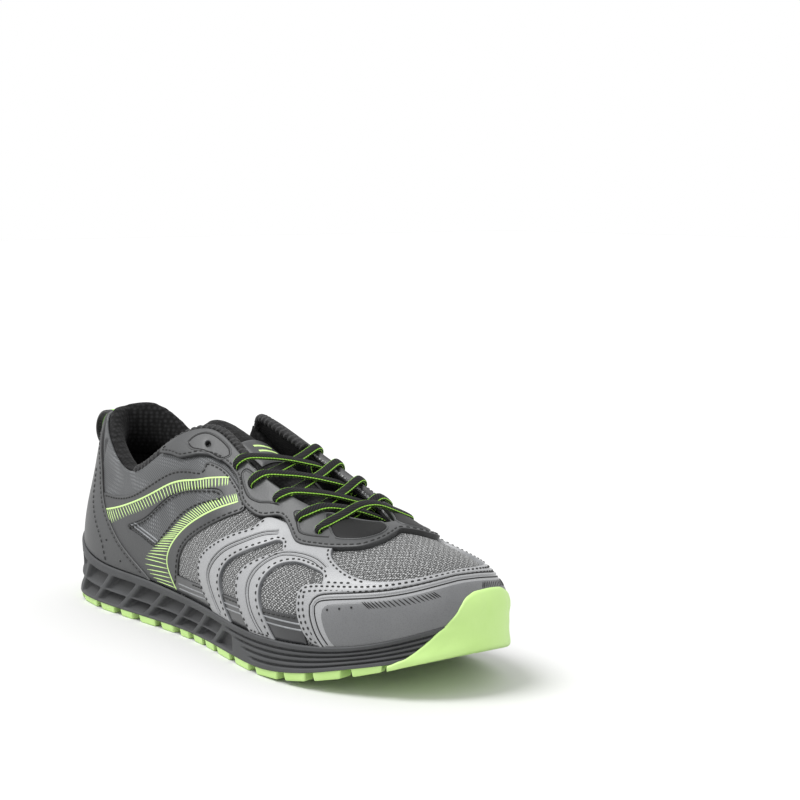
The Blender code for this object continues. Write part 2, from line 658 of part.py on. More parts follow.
# ---------------------------------------------------------------- tongue
TONGUE_RIDGE = [(100, 110), (112, 104.5), (124, 96), (150, 84), (178, 73), (204, 64.5), (222, 59.5),
                (238, 55.5)]
TONGUE_HALF_WIDTH = [(100, 14), (112, 16), (124, 18.5), (150, 23), (178, 24), (204, 21), (238, 11)]
TONGUE_DROP = [(124, 13), (178, 13), (204, 11), (238, 4)]
ACROSS = [-1.0, -0.8, -0.55, -0.28, 0.0, 0.28, 0.55, 0.8, 1.0]


def tongue_point(x, across, depth):
    z = between(TONGUE_RIDGE, x) - between(TONGUE_DROP, x) * across * across - depth
    return Vector((x - depth * 0.35, between(TONGUE_HALF_WIDTH, x) * across, z))


def tongue_part(name, xs, look, top_depth, thickness, across, sweep=0.0, **options):
    """Curved pad along the tongue; sweep sets its sides back so that they clear the fold."""
    def face(depth):
        return [[tongue_point(x - sweep * share * share, share, depth) for share in across] for x in xs]
    return layered_solid(name, face(top_depth), face(top_depth + thickness), look, **options)


HINGE = (TONGUE_HINGE_X, 0.0, 96.3)
tongue_lower = tongue_part("tongue_lower", [124.3, 137, 150, 164, 178, 191, 204, 213, 222, 238],
                           BLACK_KNIT, 0.0, TONGUE, ACROSS)
tongue_top = tongue_part("tongue_top", [100, 106, 112, 118, 123.7], BLACK_KNIT, 0.0, TONGUE, ACROSS,
                         sweep=2.6, pivot=HINGE)
tongue_label = tongue_part("tongue_label", [127, 131, 135, 139], DARK_SYNTHETIC, -1.2, 0.8,
                           [-0.45, -0.22, 0.0, 0.22, 0.45])

# ---------------------------------------------------------------- lace
OVER = LAYER_THREE[1] + LACE_RADIUS + 0.4
UNDER = lining_face - LINING - LACE_RADIUS - 0.4
ROWS = list(zip(LATERAL_EYELETS[1:], MEDIAL_EYELETS[1:]))


def through_hole(eyelet, inwards):
    station, height = eyelet
    steps = [off_sheet(station, height, distance) for distance in (OVER, 0.0, UNDER)]
    return steps if inwards else list(reversed(steps))


def at_edge(eyelet, distance, shift=0.0):
    """Beside the throat edge nearest to an eyelet; shift moves along the edge, in stations."""
    station, _ = eyelet
    return off_sheet(station + shift, 0.995, distance)


def cross(start, end, lift):
    middle = (start + end) / 2
    return [start.lerp(end, 0.25) + Vector((0, 0, lift * 0.8)), middle + Vector((0, 0, lift)),
            start.lerp(end, 0.75) + Vector((0, 0, lift * 0.8))]


def crossing(start, start_distance, end, end_distance, lift, start_shift, end_shift):
    """From beside one throat edge across the tongue to beside the other."""
    first = at_edge(start, start_distance, start_shift)
    last = at_edge(end, end_distance, end_shift)
    return [first] + cross(first, last, lift) + [last]


def strand(start_side):
    """One half of the lace, from its tucked end down to the eyelet of the bottom row."""
    side, points = start_side, []
    tuck = (ROWS[0][1 - side][0] + (-0.25 if side else 0.25), 0.8)
    points.append(off_sheet(*tuck, UNDER - 1.0))
    first_shift = -0.12 if side == 0 else 0.12
    lift = 2.6 if side == 0 else -0.4
    points += crossing(ROWS[0][1 - side], UNDER, ROWS[0][side], OVER, lift, -first_shift * 2, -first_shift)
    for row in range(4):
        sign = 1 if side == 0 else -1
        points += through_hole(ROWS[row][side], True)
        lift = -0.4 if side == 0 else 2.6
        end_distance = OVER if row < 3 else UNDER
        points += crossing(ROWS[row][side], UNDER, ROWS[row + 1][1 - side], end_distance, lift if row < 3 else
                           (2.0 if side == 0 else 5.4), 0.1 * sign, 0.08 * sign)
        side = 1 - side
    points += through_hole(ROWS[4][side], False)
    return points


first_half = strand(0)
second_half = strand(1)
bar = crossing(ROWS[4][0], OVER, ROWS[4][1], OVER, 2.2, 0.0, 0.0)
lace_route = first_half + bar + list(reversed(second_half))
lace = tube("lace", lace_route, LACE_RADIUS, BLACK_WEBBING, 2)

AGLET_LENGTH = 16.0
AGLET_RADIUS = 1.2


def aglet(name, end, before):
    run = (end - before).normalized()
    start = end + run * (LAYER_GAP + 0.1)
    return tube(name, [start, start + run * AGLET_LENGTH], AGLET_RADIUS, BLACK_WEBBING, 2)


aglet_first = aglet("aglet_first", lace_route[0], lace_route[1])
aglet_second = aglet("aglet_second", lace_route[-1], lace_route[-2])

# ---------------------------------------------------------------- pull loop
LOOP_AXIS = (7.5, 0.0, 90.0)
LOOP_PATH = [(7.0, 98.5), (3.0, 99.0), (-2.0, 97.5), (-5.3, 94.2), (-6.6, 90.0), (-6.0, 86.0), (-3.4, 82.8),
             (1.0, 81.5)]


def loop_side(distance):
    """Points of the webbing's outer or inner face, across its width."""
    grid = []
    for index, (x, z) in enumerate(LOOP_PATH):
        before = LOOP_PATH[max(0, index - 1)]
        after = LOOP_PATH[min(len(LOOP_PATH) - 1, index + 1)]
        run = Vector((after[0] - before[0], 0.0, after[1] - before[1])).normalized()
        shift = Vector((run.z, 0.0, -run.x)) * distance
        grid.append([Vector((x, y, z)) + shift for y in (-LOOP_WIDTH / 2, 0.0, LOOP_WIDTH / 2)])
    return grid


pull_loop = layered_solid("pull_loop", loop_side(-LOOP_THICKNESS / 2), loop_side(LOOP_THICKNESS / 2),
                          BLACK_WEBBING, pivot=LOOP_AXIS)
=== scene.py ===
"""Running shoe, right foot: a knitted and synthetic upper on a foam midsole with a lime rubber outsole.

Sizes are millimetres from the heel (x), from the middle line (y, medial side positive) and from the floor (z).
The upper is laid out on one curved sheet: stations run round the shoe from the back of the heel (0) along
the lateral side to the toe (12) and back along the medial side (24); height runs from the feather line (0)
to the topline (1).
"""
import math

import bmesh
import bpy
import numpy as np
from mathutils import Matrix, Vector
from mathutils.geometry import delaunay_2d_cdt


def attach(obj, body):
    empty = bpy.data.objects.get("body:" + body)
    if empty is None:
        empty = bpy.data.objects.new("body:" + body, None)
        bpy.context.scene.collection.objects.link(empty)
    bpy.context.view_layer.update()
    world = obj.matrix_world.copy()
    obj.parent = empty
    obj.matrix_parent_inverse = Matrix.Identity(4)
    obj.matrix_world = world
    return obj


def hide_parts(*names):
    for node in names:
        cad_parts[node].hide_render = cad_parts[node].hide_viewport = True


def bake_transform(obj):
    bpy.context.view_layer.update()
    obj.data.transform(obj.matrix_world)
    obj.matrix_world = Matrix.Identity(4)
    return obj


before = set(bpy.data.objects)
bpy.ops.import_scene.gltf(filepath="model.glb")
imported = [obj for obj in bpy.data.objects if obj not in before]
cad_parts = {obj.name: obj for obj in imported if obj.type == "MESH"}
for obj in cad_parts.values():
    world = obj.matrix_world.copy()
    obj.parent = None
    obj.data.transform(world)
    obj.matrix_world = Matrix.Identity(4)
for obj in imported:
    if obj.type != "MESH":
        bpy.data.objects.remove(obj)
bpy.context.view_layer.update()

# ---------------------------------------------------------------- camera, light and floor
# A long-lens product view from the front of the lateral side, a little above the toe, on a pale
# floor under a white dome with one large soft light overhead.
AZIMUTH, ELEVATION = math.radians(52.81), math.radians(11.21)
back = Vector((math.sin(AZIMUTH) * math.cos(ELEVATION), -math.cos(AZIMUTH) * math.cos(ELEVATION),
               math.sin(ELEVATION)))
lens = bpy.data.cameras.new("product_lens")
lens.sensor_width = 36.0
lens.lens = 83.04
lens.shift_x, lens.shift_y = 0.156, 0.192
camera = bpy.data.objects.new("product_camera", lens)
camera.location = Vector((0.0052, 0.0048, 0.040)) + back * 0.905
camera.rotation_euler = back.to_track_quat("Z", "Y").to_euler()
bpy.context.scene.collection.objects.link(camera)
bpy.context.scene.camera = camera
bpy.context.scene.view_settings.view_transform = "Standard"


def linear(hex_colour):
    """sRGB hex such as "6b6b6b" to the linear colour that a shader takes."""
    parts = [int(hex_colour[i:i + 2], 16) / 255 for i in (0, 2, 4)]
    return tuple(p / 12.92 if p <= 0.04045 else ((p + 0.055) / 1.055) ** 2.4 for p in parts) + (1.0,)


def add(tree, kind, inputs=None, **settings):
    """Adds one node; inputs holds values, or sockets to link from, by input name or number."""
    made = tree.nodes.new(kind)
    for key, value in settings.items():
        setattr(made, key, value)
    for key, value in (inputs or {}).items():
        if isinstance(value, bpy.types.NodeSocket):
            tree.links.new(value, made.inputs[key])
        else:
            made.inputs[key].default_value = value
    return made


def finish(name, roughness, **sockets):
    """New material and its Principled shader; sockets are set by their names with _ for spaces."""
    made = bpy.data.materials.new(name)
    made.use_nodes = True
    shader = made.node_tree.nodes["Principled BSDF"]
    shader.inputs["Roughness"].default_value = roughness
    for key, value in sockets.items():
        shader.inputs[key.replace("_", " ")].default_value = value
    return made, made.node_tree, shader


def mixed(tree, factor, low, high):
    """Colour node that runs from low to high."""
    return add(tree, "ShaderNodeMix", {"Factor": factor, "A": low, "B": high}, data_type="RGBA")


def noise(tree, place, scale, detail):
    return add(tree, "ShaderNodeTexNoise", {"Vector": place, "Scale": scale, "Detail": detail})


def ramp(tree, value, from_low, from_high, to_low=0.0, to_high=1.0):
    """Stretches one range of a value to another, clamped at both ends."""
    return add(tree, "ShaderNodeMapRange", {"Value": value, "From Min": from_low, "From Max": from_high,
                                            "To Min": to_low, "To Max": to_high})


def arithmetic(tree, operation, first, second):
    return add(tree, "ShaderNodeMath", {0: first, 1: second}, operation=operation)


def coloured(tree, shader, mix_node):
    tree.links.new(mix_node.outputs["Result"], shader.inputs["Base Color"])


def bumped(tree, shader, strength, distance, height, **settings):
    """Surface relief from a height, distance in metres."""
    relief = add(tree, "ShaderNodeBump", {"Strength": strength, "Distance": distance, "Height": height},
                 **settings)
    tree.links.new(relief.outputs[0], shader.inputs["Normal"])


dome = bpy.data.worlds.new("white_dome")
dome.use_nodes = True
dome.node_tree.nodes["Background"].inputs["Color"].default_value = linear("ffffff")
dome.node_tree.nodes["Background"].inputs["Strength"].default_value = 1.0
bpy.context.scene.world = dome


lamp = bpy.data.lights.new("overhead_diffused_lamp", "SUN")
lamp.energy = 2.6
lamp.angle = math.radians(30)
overhead = bpy.data.objects.new("overhead_diffused_lamp", lamp)
overhead.rotation_euler = Vector((-0.25, -0.45, 1.0)).to_track_quat("Z", "Y").to_euler()
bpy.context.scene.collection.objects.link(overhead)

matt_floor, floor_tree, floor_shader = finish("matt_studio_floor", 0.9)
speckle = add(floor_tree, "ShaderNodeTexNoise", {"Scale": 40.0, "Detail": 2.0})
floor_colour = add(floor_tree, "ShaderNodeMix", {"Factor": speckle.outputs["Fac"], "A": linear("cdcdcc"),
                                                  "B": linear("d3d3d3")}, data_type="RGBA")
floor_tree.links.new(floor_colour.outputs["Result"], floor_shader.inputs["Base Color"])
floor_mesh = bpy.data.meshes.new("studio_floor")
floor_mesh.from_pydata([(-6, -6, 0), (6, -6, 0), (6, 6, 0), (-6, 6, 0)], [], [(0, 1, 2, 3)])
floor_mesh.materials.append(matt_floor)
studio_floor = bpy.data.objects.new("studio_floor", floor_mesh)
bpy.context.scene.collection.objects.link(studio_floor)

# ---------------------------------------------------------------- knitted skin of the upper
# The upper starts as a knitted spacer mesh pulled over the last: one fabric from the waist of the shoe round
# the toe, and a ribbed nylon at the heel quarters. It shows through every window of the overlays.
MM = 0.001
MIDDLE = np.array([144.78, -4.76, 0.0])
LEVELS = np.array([
    # lasted edge, under the foot
    [(7, 0, 27), (12, -16, 26), (29, -30, 23.5), (56, -35, 20.5), (90, -36, 19), (125, -37, 17), (158, -42, 16),
     (190, -49, 15), (218, -52, 14.5), (242, -49, 15), (263, -39, 17.5), (280, -24, 22.5), (288, -5, 27.5),
     (286, 15, 26.5), (273, 30, 21.5), (249, 40, 16), (222, 44, 15), (190, 41, 15), (158, 34, 16),
     (125, 30, 17.5), (90, 31, 19.5), (56, 33, 21.5), (29, 28, 24), (12, 15, 26)],
    # feather line, where the upper meets the sole
    [(5, 0, 37), (10, -18, 35), (28, -32, 28), (55, -37, 23), (90, -38, 22), (125, -39, 20), (158, -44, 19),
     (190, -51, 18), (218, -54, 18), (243, -51, 19), (265, -41, 22), (282, -25, 28), (291, -5, 33),
     (289, 16, 32), (275, 32, 27.5), (250, 42, 20), (222, 46, 18), (190, 43, 18), (158, 36, 19),
     (125, 32, 21), (90, 33, 23), (55, 35, 25), (28, 30, 29), (10, 17, 35)],
    # a quarter, a half and three quarters of the way up
    [(3, 0, 51), (9, -15, 50), (27, -30, 46), (56, -37, 42), (90, -40, 41), (124, -42, 40),
     (156, -47, 37), (188, -53, 34), (217, -56, 33), (242, -52, 33), (264, -42, 35), (282, -26, 38),
     (291, -5, 42), (289, 16, 41), (275, 32, 38), (250, 42, 34), (220, 46, 33), (188, 44, 34),
     (156, 38, 37), (124, 35, 40), (90, 35, 42), (56, 35, 43), (27, 29, 47), (9, 15, 50)],
    [(5, 0, 67), (11, -13, 66), (28, -26, 63), (57, -34, 57), (88, -38, 58), (120, -40, 62),
     (152, -44, 57), (184, -48, 51), (213, -48, 48), (238, -44, 48), (258, -36, 49), (274, -23, 51),
     (281, -5, 53), (279, 12, 53), (266, 26, 51), (243, 35, 49), (215, 38, 49), (184, 39, 53),
     (152, 37, 60), (120, 34, 64), (88, 34, 59), (57, 32, 58), (28, 26, 64), (11, 13, 66)],
    [(8, 0, 83), (13, -11, 82), (29, -23, 77), (58, -31, 68), (84, -35, 71), (113, -34, 82),
     (141, -34, 78), (171, -35, 68), (201, -33, 61), (224, -28, 60), (243, -21, 60), (255, -13, 60),
     (260, -3, 61), (257, 7, 61), (246, 17, 60), (228, 24, 60), (203, 28, 62), (171, 30, 70),
     (141, 29, 80), (113, 30, 83), (84, 31, 71), (58, 30, 68), (29, 23, 78), (13, 11, 82)],
    # topline and throat edge
    [(12, 0, 99), (17, -11, 98), (31, -21, 90), (56, -30, 77), (80, -32, 77), (104, -27, 93),
     (124, -17, 100), (150, -19, 91), (178, -21, 80), (204, -18, 71), (222, -11, 67), (231, -4, 66),
     (233, 1, 66), (230, 6, 66), (220, 11, 68), (203, 16, 73), (178, 18, 82), (150, 18, 92),
     (119, 18, 102), (102, 26, 93), (80, 29, 77), (56, 29, 79), (34, 23, 93), (19, 13, 100)],
], float)


def spline_net(points):
    """Control net of the uniform cubic B-spline through the points, closed round the shoe."""
    rows, count, _ = points.shape
    round_shoe = (np.eye(count) * 4 + np.roll(np.eye(count), 1, 0) + np.roll(np.eye(count), -1, 0)) / 6
    net = np.einsum("ij,rjk->rik", np.linalg.inv(round_shoe), points)
    upward = np.zeros((rows + 2, rows + 2))
    for row in range(rows):
        upward[row + 1, row:row + 3] = [1 / 6, 4 / 6, 1 / 6]
    upward[0, :3] = upward[-1, -3:] = [1, -2, 1]
    ends = np.zeros((1, count, 3))
    return np.einsum("ij,jrk->irk", np.linalg.inv(upward), np.concatenate([ends, net, ends]))


NET = spline_net(LEVELS)


def spline_weights(u):
    return np.stack([(1 - u) ** 3, 3 * u ** 3 - 6 * u * u + 4, -3 * u ** 3 + 3 * u * u + 3 * u + 1, u ** 3],
                    -1) / 6


def sheet(s, t):
    """Points of the last's surface at stations s and heights t."""
    s, t = np.broadcast_arrays(np.asarray(s, float), np.asarray(t, float))
    column = np.floor(s).astype(int)
    place = (t + 0.25) / 0.25
    row = np.clip(np.floor(place).astype(int), 0, len(LEVELS) - 2)
    along, up = spline_weights(s - column), spline_weights(place - row)
    total = np.zeros(s.shape + (3,))
    for i in range(4):
        for j in range(4):
            net = NET[np.clip(row + i, 0, len(NET) - 1), (column - 1 + j) % 24]
            total += net * (up[..., i] * along[..., j])[..., None]
    return total


def unit(vectors):
    return vectors / np.maximum(np.linalg.norm(vectors, axis=-1, keepdims=True), 1e-9)


def steps(s, t):
    """How the sheet moves, in millimetres, per station and per unit of height."""
    s, t = np.asarray(s, float), np.asarray(t, float)
    return (sheet(s + 0.02, t) - sheet(s - 0.02, t)) / 0.04, (sheet(s, t + 0.02) - sheet(s, t - 0.02)) / 0.04


def outward(s, t):
    along, up = steps(s, t)
    return unit(np.cross(along, up))


def off(s, t, distance):
    return sheet(s, t) + outward(s, t) * np.broadcast_to(np.asarray(distance, float), np.shape(s))[..., None]


STATION_TABLE, HEIGHT_TABLE = np.arange(-12, 36.01, 0.25), np.arange(-0.25, 1.1, 0.025)
TABLE = sheet(STATION_TABLE[:, None], HEIGHT_TABLE[None, :])
LENGTH_UP = np.cumsum(np.linalg.norm(np.diff(TABLE, axis=1, prepend=TABLE[:, :1]), axis=2), axis=1)
LENGTH_ROUND = np.cumsum(np.linalg.norm(np.diff(TABLE[:, 26], axis=0, prepend=TABLE[:1, 26]), axis=1))


def laid_flat(s, t):
    """Cloth coordinates in millimetres: distance round the shoe, and distance up its side."""
    s, t = np.broadcast_arrays(np.asarray(s, float), np.asarray(t, float))
    place = np.clip((s + 12) / 0.25, 0, len(STATION_TABLE) - 2)
    left = np.floor(place).astype(int)
    row = np.clip((t + 0.25) / 0.025, 0, len(HEIGHT_TABLE) - 2)
    low = np.floor(row).astype(int)
    a, b = place - left, row - low
    up = ((LENGTH_UP[left, low] * (1 - a) + LENGTH_UP[left + 1, low] * a) * (1 - b)
          + (LENGTH_UP[left, low + 1] * (1 - a) + LENGTH_UP[left + 1, low + 1] * a) * b)
    return np.stack([np.interp(s, STATION_TABLE, LENGTH_ROUND), up], -1)


def piece(name, points, faces, look, uvs=None, edge=None, body="shoe"):
    """Object from millimetre points; uvs are cloth coordinates and edge darkens the colour, both per point: 1 on
    a panel's cut edge, partly as painted shade along its rim, or the depth of a recess as painted shade.
    """
    mesh = bpy.data.meshes.new(name)
    mesh.from_pydata((np.asarray(points, float) - MIDDLE) * MM, [], [tuple(map(int, face)) for face in faces])
    mesh.validate()
    mesh.materials.append(look)
    corners = np.zeros(len(mesh.loops), int)
    mesh.loops.foreach_get("vertex_index", corners)
    if uvs is not None:
        layer = mesh.uv_layers.new(name="cloth")
        layer.data.foreach_set("uv", np.asarray(uvs, float)[corners].ravel())
    if edge is not None:
        mesh.attributes.new("edge", "FLOAT", "POINT").data.foreach_set("value", np.asarray(edge, float))
    shape = bmesh.new()
    shape.from_mesh(mesh)
    bmesh.ops.recalc_face_normals(shape, faces=shape.faces)
    shape.to_mesh(mesh)
    shape.free()
    mesh.shade_smooth()
    made = bpy.data.objects.new(name, mesh)
    bpy.context.scene.collection.objects.link(made)
    if body:
        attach(made, body)
    return made


def grid_faces(columns, rows, closed=False):
    """Four-sided faces between neighbouring columns of points."""
    last = columns if closed else columns - 1
    return [(c * rows + r, (c + 1) % columns * rows + r, (c + 1) % columns * rows + r + 1, c * rows + r + 1)
            for c in range(last) for r in range(rows - 1)]


def cloth_skin(name, first, last, low, high, outer, inner, look, flat_vamp=False):
    """Sheet of cloth with thickness, from one station to another, closed over its upper and lower edges."""
    s = np.linspace(first, last, max(2, int(abs(last - first) * 14)))
    t = np.linspace(low, high, 44)
    front = [(value, outer) for value in t]
    rear = [(value, inner) for value in t[::-1]]
    ring = np.array(front + [(high + 0.004, (outer + inner) / 2)] + rear + [(low, outer)])
    S, T = np.meshgrid(s, ring[:, 0], indexing="ij")
    D = np.broadcast_to(ring[:, 1], S.shape)
    points = off(S, T, D).reshape(-1, 3)
    uvs = laid_flat(S, T)
    if flat_vamp:
        over = sheet(S, T)
        on_top = (T > 0.45) & (S > 8.9) & (S < 15.1)
        uvs = np.where(on_top[..., None], np.stack([over[..., 1] + 400, over[..., 0] * 0.92 - over[..., 2]
                                                    * 0.4], -1), uvs)
    return piece(name, points, grid_faces(len(s), len(ring)), look, uvs.reshape(-1, 2))


# Polyester spacer mesh: matt grey yarn loops over a black backing that shows in the holes between them.
spacer_mesh, tree, shader = finish("grey_polyester_spacer_mesh", 0.85, Sheen_Weight=0.15, Sheen_Roughness=0.5)
cloth = add(tree, "ShaderNodeUVMap", uv_map="cloth")
# Yarn loops 1.5 mm apart, each lying at a slant to its row, as a warp knit does.
slant = add(tree, "ShaderNodeMapping", {"Vector": cloth.outputs[0], "Rotation": (0, 0, 0.5),
                                        "Scale": (0.62, 1.1, 1)})
loops = add(tree, "ShaderNodeTexVoronoi", {"Vector": slant.outputs[0], "Scale": 1.0, "Randomness": 0.62},
            voronoi_dimensions="2D", feature="DISTANCE_TO_EDGE")
# Larger open holes 2.6 mm apart in staggered rows.
hole_rows = add(tree, "ShaderNodeMapping", {"Vector": cloth.outputs[0], "Rotation": (0, 0, 0.785),
                                            "Scale": (0.42, 0.42, 1)})
holes = add(tree, "ShaderNodeTexVoronoi", {"Vector": hole_rows.outputs[0], "Scale": 1.0, "Randomness": 0.12},
            voronoi_dimensions="2D", feature="F1")
yarn = ramp(tree, loops.outputs["Distance"], 0.06, 0.26)
hole = ramp(tree, holes.outputs["Distance"], 0.20, 0.42)
hole_part = ramp(tree, hole.outputs[0], 0, 1, 0.35, 1.0)
covered = arithmetic(tree, "MULTIPLY", yarn.outputs[0], hole_part.outputs[0])
soiling = noise(tree, cloth.outputs[0], 0.08, 3.0)
yarn_tone = mixed(tree, soiling.outputs["Fac"], linear("989999"), linear("b6b7b7"))
mesh_colour = mixed(tree, covered.outputs[0], linear("060606"), yarn_tone.outputs["Result"])
coloured(tree, shader, mesh_colour)
bumped(tree, shader, 0.8, 0.0004, covered.outputs[0])

# Ribbed nylon: close dark-grey ribs 1.1 mm apart on the slant, painted paler on their crests and darker in the
# troughs as painted light and shade.
ribbed_nylon, tree, shader = finish("dark_ribbed_nylon", 0.6, Sheen_Weight=0.1)
cloth = add(tree, "ShaderNodeUVMap", uv_map="cloth")
ribs = add(tree, "ShaderNodeMapping", {"Vector": cloth.outputs[0], "Rotation": (0, 0, 0.75),
                                       "Scale": (0.285, 0.285, 1)})
wave = add(tree, "ShaderNodeTexWave", {"Vector": ribs.outputs[0], "Scale": 1.0, "Distortion": 0.35,
                                       "Detail": 1.0})
rib_tone_with_painted_shading = mixed(tree, wave.outputs["Fac"], linear("2b2c2d"), linear("525456"))
# Paler dots printed 2 mm apart, strongest in patches, fading out between them.
dots = add(tree, "ShaderNodeTexVoronoi", {"Vector": cloth.outputs[0], "Scale": 0.5, "Randomness": 0.0},
           voronoi_dimensions="2D")
dot = ramp(tree, dots.outputs["Distance"], 0.34, 0.26)
patches = noise(tree, cloth.outputs[0], 0.045, 1.0)
patch = ramp(tree, patches.outputs["Fac"], 0.48, 0.66)
dotted = arithmetic(tree, "MULTIPLY", dot.outputs[0], patch.outputs[0])
nylon_colour = mixed(tree, dotted.outputs[0], rib_tone_with_painted_shading.outputs["Result"], linear("6c6e70"))
coloured(tree, shader, nylon_colour)
bumped(tree, shader, 0.5, 0.0002, wave.outputs["Fac"])

forefoot_skin = cloth_skin("forefoot_skin", 5.0, 19.0, -0.2, 0.985, 0.0, -1.2, spacer_mesh, flat_vamp=True)
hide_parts("forefoot_mesh")
lateral_quarter = cloth_skin("lateral_quarter", 0.0, 5.0, -0.2, 0.985, 0.0, -1.2, ribbed_nylon)
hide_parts("quarter_lateral")
medial_quarter = cloth_skin("medial_quarter", 19.0, 24.0, -0.2, 0.985, 0.0, -1.2, ribbed_nylon)
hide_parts("quarter_medial")

# ---------------------------------------------------------------- quarter overlays and their printed stripes
# Coated microfibre cut to shape and sewn over the quarters, with a window that shows the ribbed nylon, two pale
# lime stripes printed on it, each with a comb of short strokes, and black lockstitching along every edge.
STATION_MM, HEIGHT_MM = 30.0, 72.0     # near sizes of one station and of the whole height, for spacing points


def trace(corners, spacing=1.3, closed=False):
    """Smooth line through (station, height) corners; a corner given twice stays sharp."""
    corners = np.array(corners, float)
    count = len(corners)
    laid = corners * [STATION_MM, HEIGHT_MM]
    out = []
    for i in range(count if closed else count - 1):
        around = [laid[(i + k) % count] if closed else laid[min(max(i + k, 0), count - 1)] for k in (-1, 0,
            1, 2)]
        a, b, c, d = around
        pieces = int(np.linalg.norm(c - b) / spacing)
        if pieces < 1 and np.linalg.norm(c - b) < 1e-9:
            continue
        u = np.linspace(0, 1, max(1, pieces), endpoint=False)[:, None]
        out.append(0.5 * (2 * b + (c - a) * u + (2 * a - 5 * b + 4 * c - d) * u ** 2
                          + (3 * b - a - 3 * c + d) * u ** 3))
    if not closed:
        out.append(laid[-1:])
    return np.concatenate(out) / [STATION_MM, HEIGHT_MM]


def shifted(line, distance, closed=False):
    """The line moved across the sheet to the left of its direction, in millimetres."""
    run = np.roll(line, -1, 0) - np.roll(line, 1, 0) if closed else np.gradient(line, axis=0)
    along, up = steps(line[:, 0], line[:, 1])
    tangent = along * run[:, :1] + up * run[:, 1:]
    side = unit(np.cross(np.cross(along, up), tangent))
    aa, uu, au = (along ** 2).sum(1), (up ** 2).sum(1), (along * up).sum(1)
    ra, ru = (side * along).sum(1), (side * up).sum(1)
    scale = distance / (aa * uu - au * au)
    return line + np.stack([uu * ra - au * ru, aa * ru - au * ra], -1) * scale[:, None]


def anticlockwise(line):
    x, y = line.T
    return line if np.sum(x * np.roll(y, -1) - y * np.roll(x, -1)) > 0 else line[::-1]


def within(points, loop):
    """Which points lie inside a closed loop."""
    x0, y0 = loop.T
    x1, y1 = np.roll(loop, -1, 0).T
    px, py = points[:, :1], points[:, 1:]
    crosses = ((y0 > py) != (y1 > py)) & (px < x0 + (py - y0) * (x1 - x0) / np.where(y1 == y0, 1e-9, y1 - y0))
    return crosses.sum(1) % 2 == 1


def panel(name, corners, top, look, holes=(), spacing=2.4, swell=None, body="shoe"):
    """Cut piece lying on the upper: a rolled edge all round, filled with an even net of points."""
    loops = [anticlockwise(trace(corners, closed=True))] + [anticlockwise(trace(h, closed=True))
                                                            for h in holes]
    flat, heights, edges, faces, inner = [], [], [], [], []
    for number, loop in enumerate(loops):
        way = 1 if number == 0 else -1
        count, start = len(loop), sum(len(f) for f in flat)
        # The last number of each ring darkens it towards the cut-edge colour: a dark cut edge that is partly
        # painted shade along the rim.
        for inset, height, cut_edge_and_shade in ((0, -0.25, 1), (0, top - 0.45, 1), (0.2, top - 0.12, 0.8),
                                    (0.65, top, 0.0)):
            flat.append(shifted(loop, inset * way, True))
            heights.append(np.full(count, height))
            edges.append(np.full(count, cut_edge_and_shade))
        for ring in range(3):
            a, b = start + ring * count, start + (ring + 1) * count
            faces += [(a + i, a + (i + 1) % count, b + (i + 1) % count, b + i) for i in range(count)]
        inner.append((start + 3 * count, flat[-1]))
    scale = np.array([STATION_MM, HEIGHT_MM])
    rims = [line * scale for _, line in inner]
    low, high = rims[0].min(0), rims[0].max(0)
    across, upward = np.meshgrid(np.arange(low[0], high[0], spacing),
                                 np.arange(low[1], high[1], spacing * 0.87))
    across = across + (np.arange(across.shape[0]) % 2)[:, None] * spacing / 2
    fill = np.stack([across.ravel(), upward.ravel()], -1)
    fill = fill[within(fill, rims[0])]
    for rim in rims[1:]:
        fill = fill[~within(fill, rim)]
    rim_points = np.concatenate(rims)
    near = np.array([np.min(((rim_points - p) ** 2).sum(1)) for p in fill]) if len(fill) else np.zeros(0)
    fill = fill[near > (0.6 * spacing) ** 2]
    places = np.concatenate([rim_points, fill])
    numbers = np.concatenate([first + np.arange(len(line)) for first, line in inner])
    total = sum(len(f) for f in flat)
    flat.append(fill / scale)
    heights.append(np.full(len(fill), top))
    edges.append(np.zeros(len(fill)))
    numbers = np.concatenate([numbers, total + np.arange(len(fill))])
    total += len(fill)
    bounds, ties = np.cumsum([0] + [len(r) for r in rims]), []
    for a, b in zip(bounds[1:-1], bounds[2:]):
        ties += [(i, i + 1 if i + 1 < b else a) for i in range(a, b)]
    found = delaunay_2d_cdt([Vector(p) for p in places], ties, [list(range(bounds[1]))], 1, 1e-5)
    index = []
    for place, sources in zip(found[0], found[3]):
        if sources:
            index.append(numbers[sources[0]])
        else:
            index.append(total)
            total += 1
            flat.append(np.array([[place.x, place.y]]) / scale)
            heights.append(np.array([top]))
            edges.append(np.zeros(1))
    middles = np.array([np.mean([found[0][i] for i in face], 0) for face in found[2]])
    open_part = np.zeros(len(middles), bool)
    for rim in rims[1:]:
        open_part |= within(middles, rim)
    faces += [tuple(index[i] for i in face) for face, is_open in zip(found[2], open_part) if not is_open]
    flat, heights = np.concatenate(flat), np.concatenate(heights)
    if swell:
        heights = heights + np.where(heights > top - 0.2, swell(flat[:, 0], flat[:, 1]), 0)
    points = off(flat[:, 0], flat[:, 1], heights)
    return piece(name, points, faces, look, laid_flat(flat[:, 0], flat[:, 1]), np.concatenate(edges), body)


SECTION = ((-0.5, -0.12), (-0.32, 0.72), (0.0, 1.0), (0.32, 0.72), (0.5, -0.12))


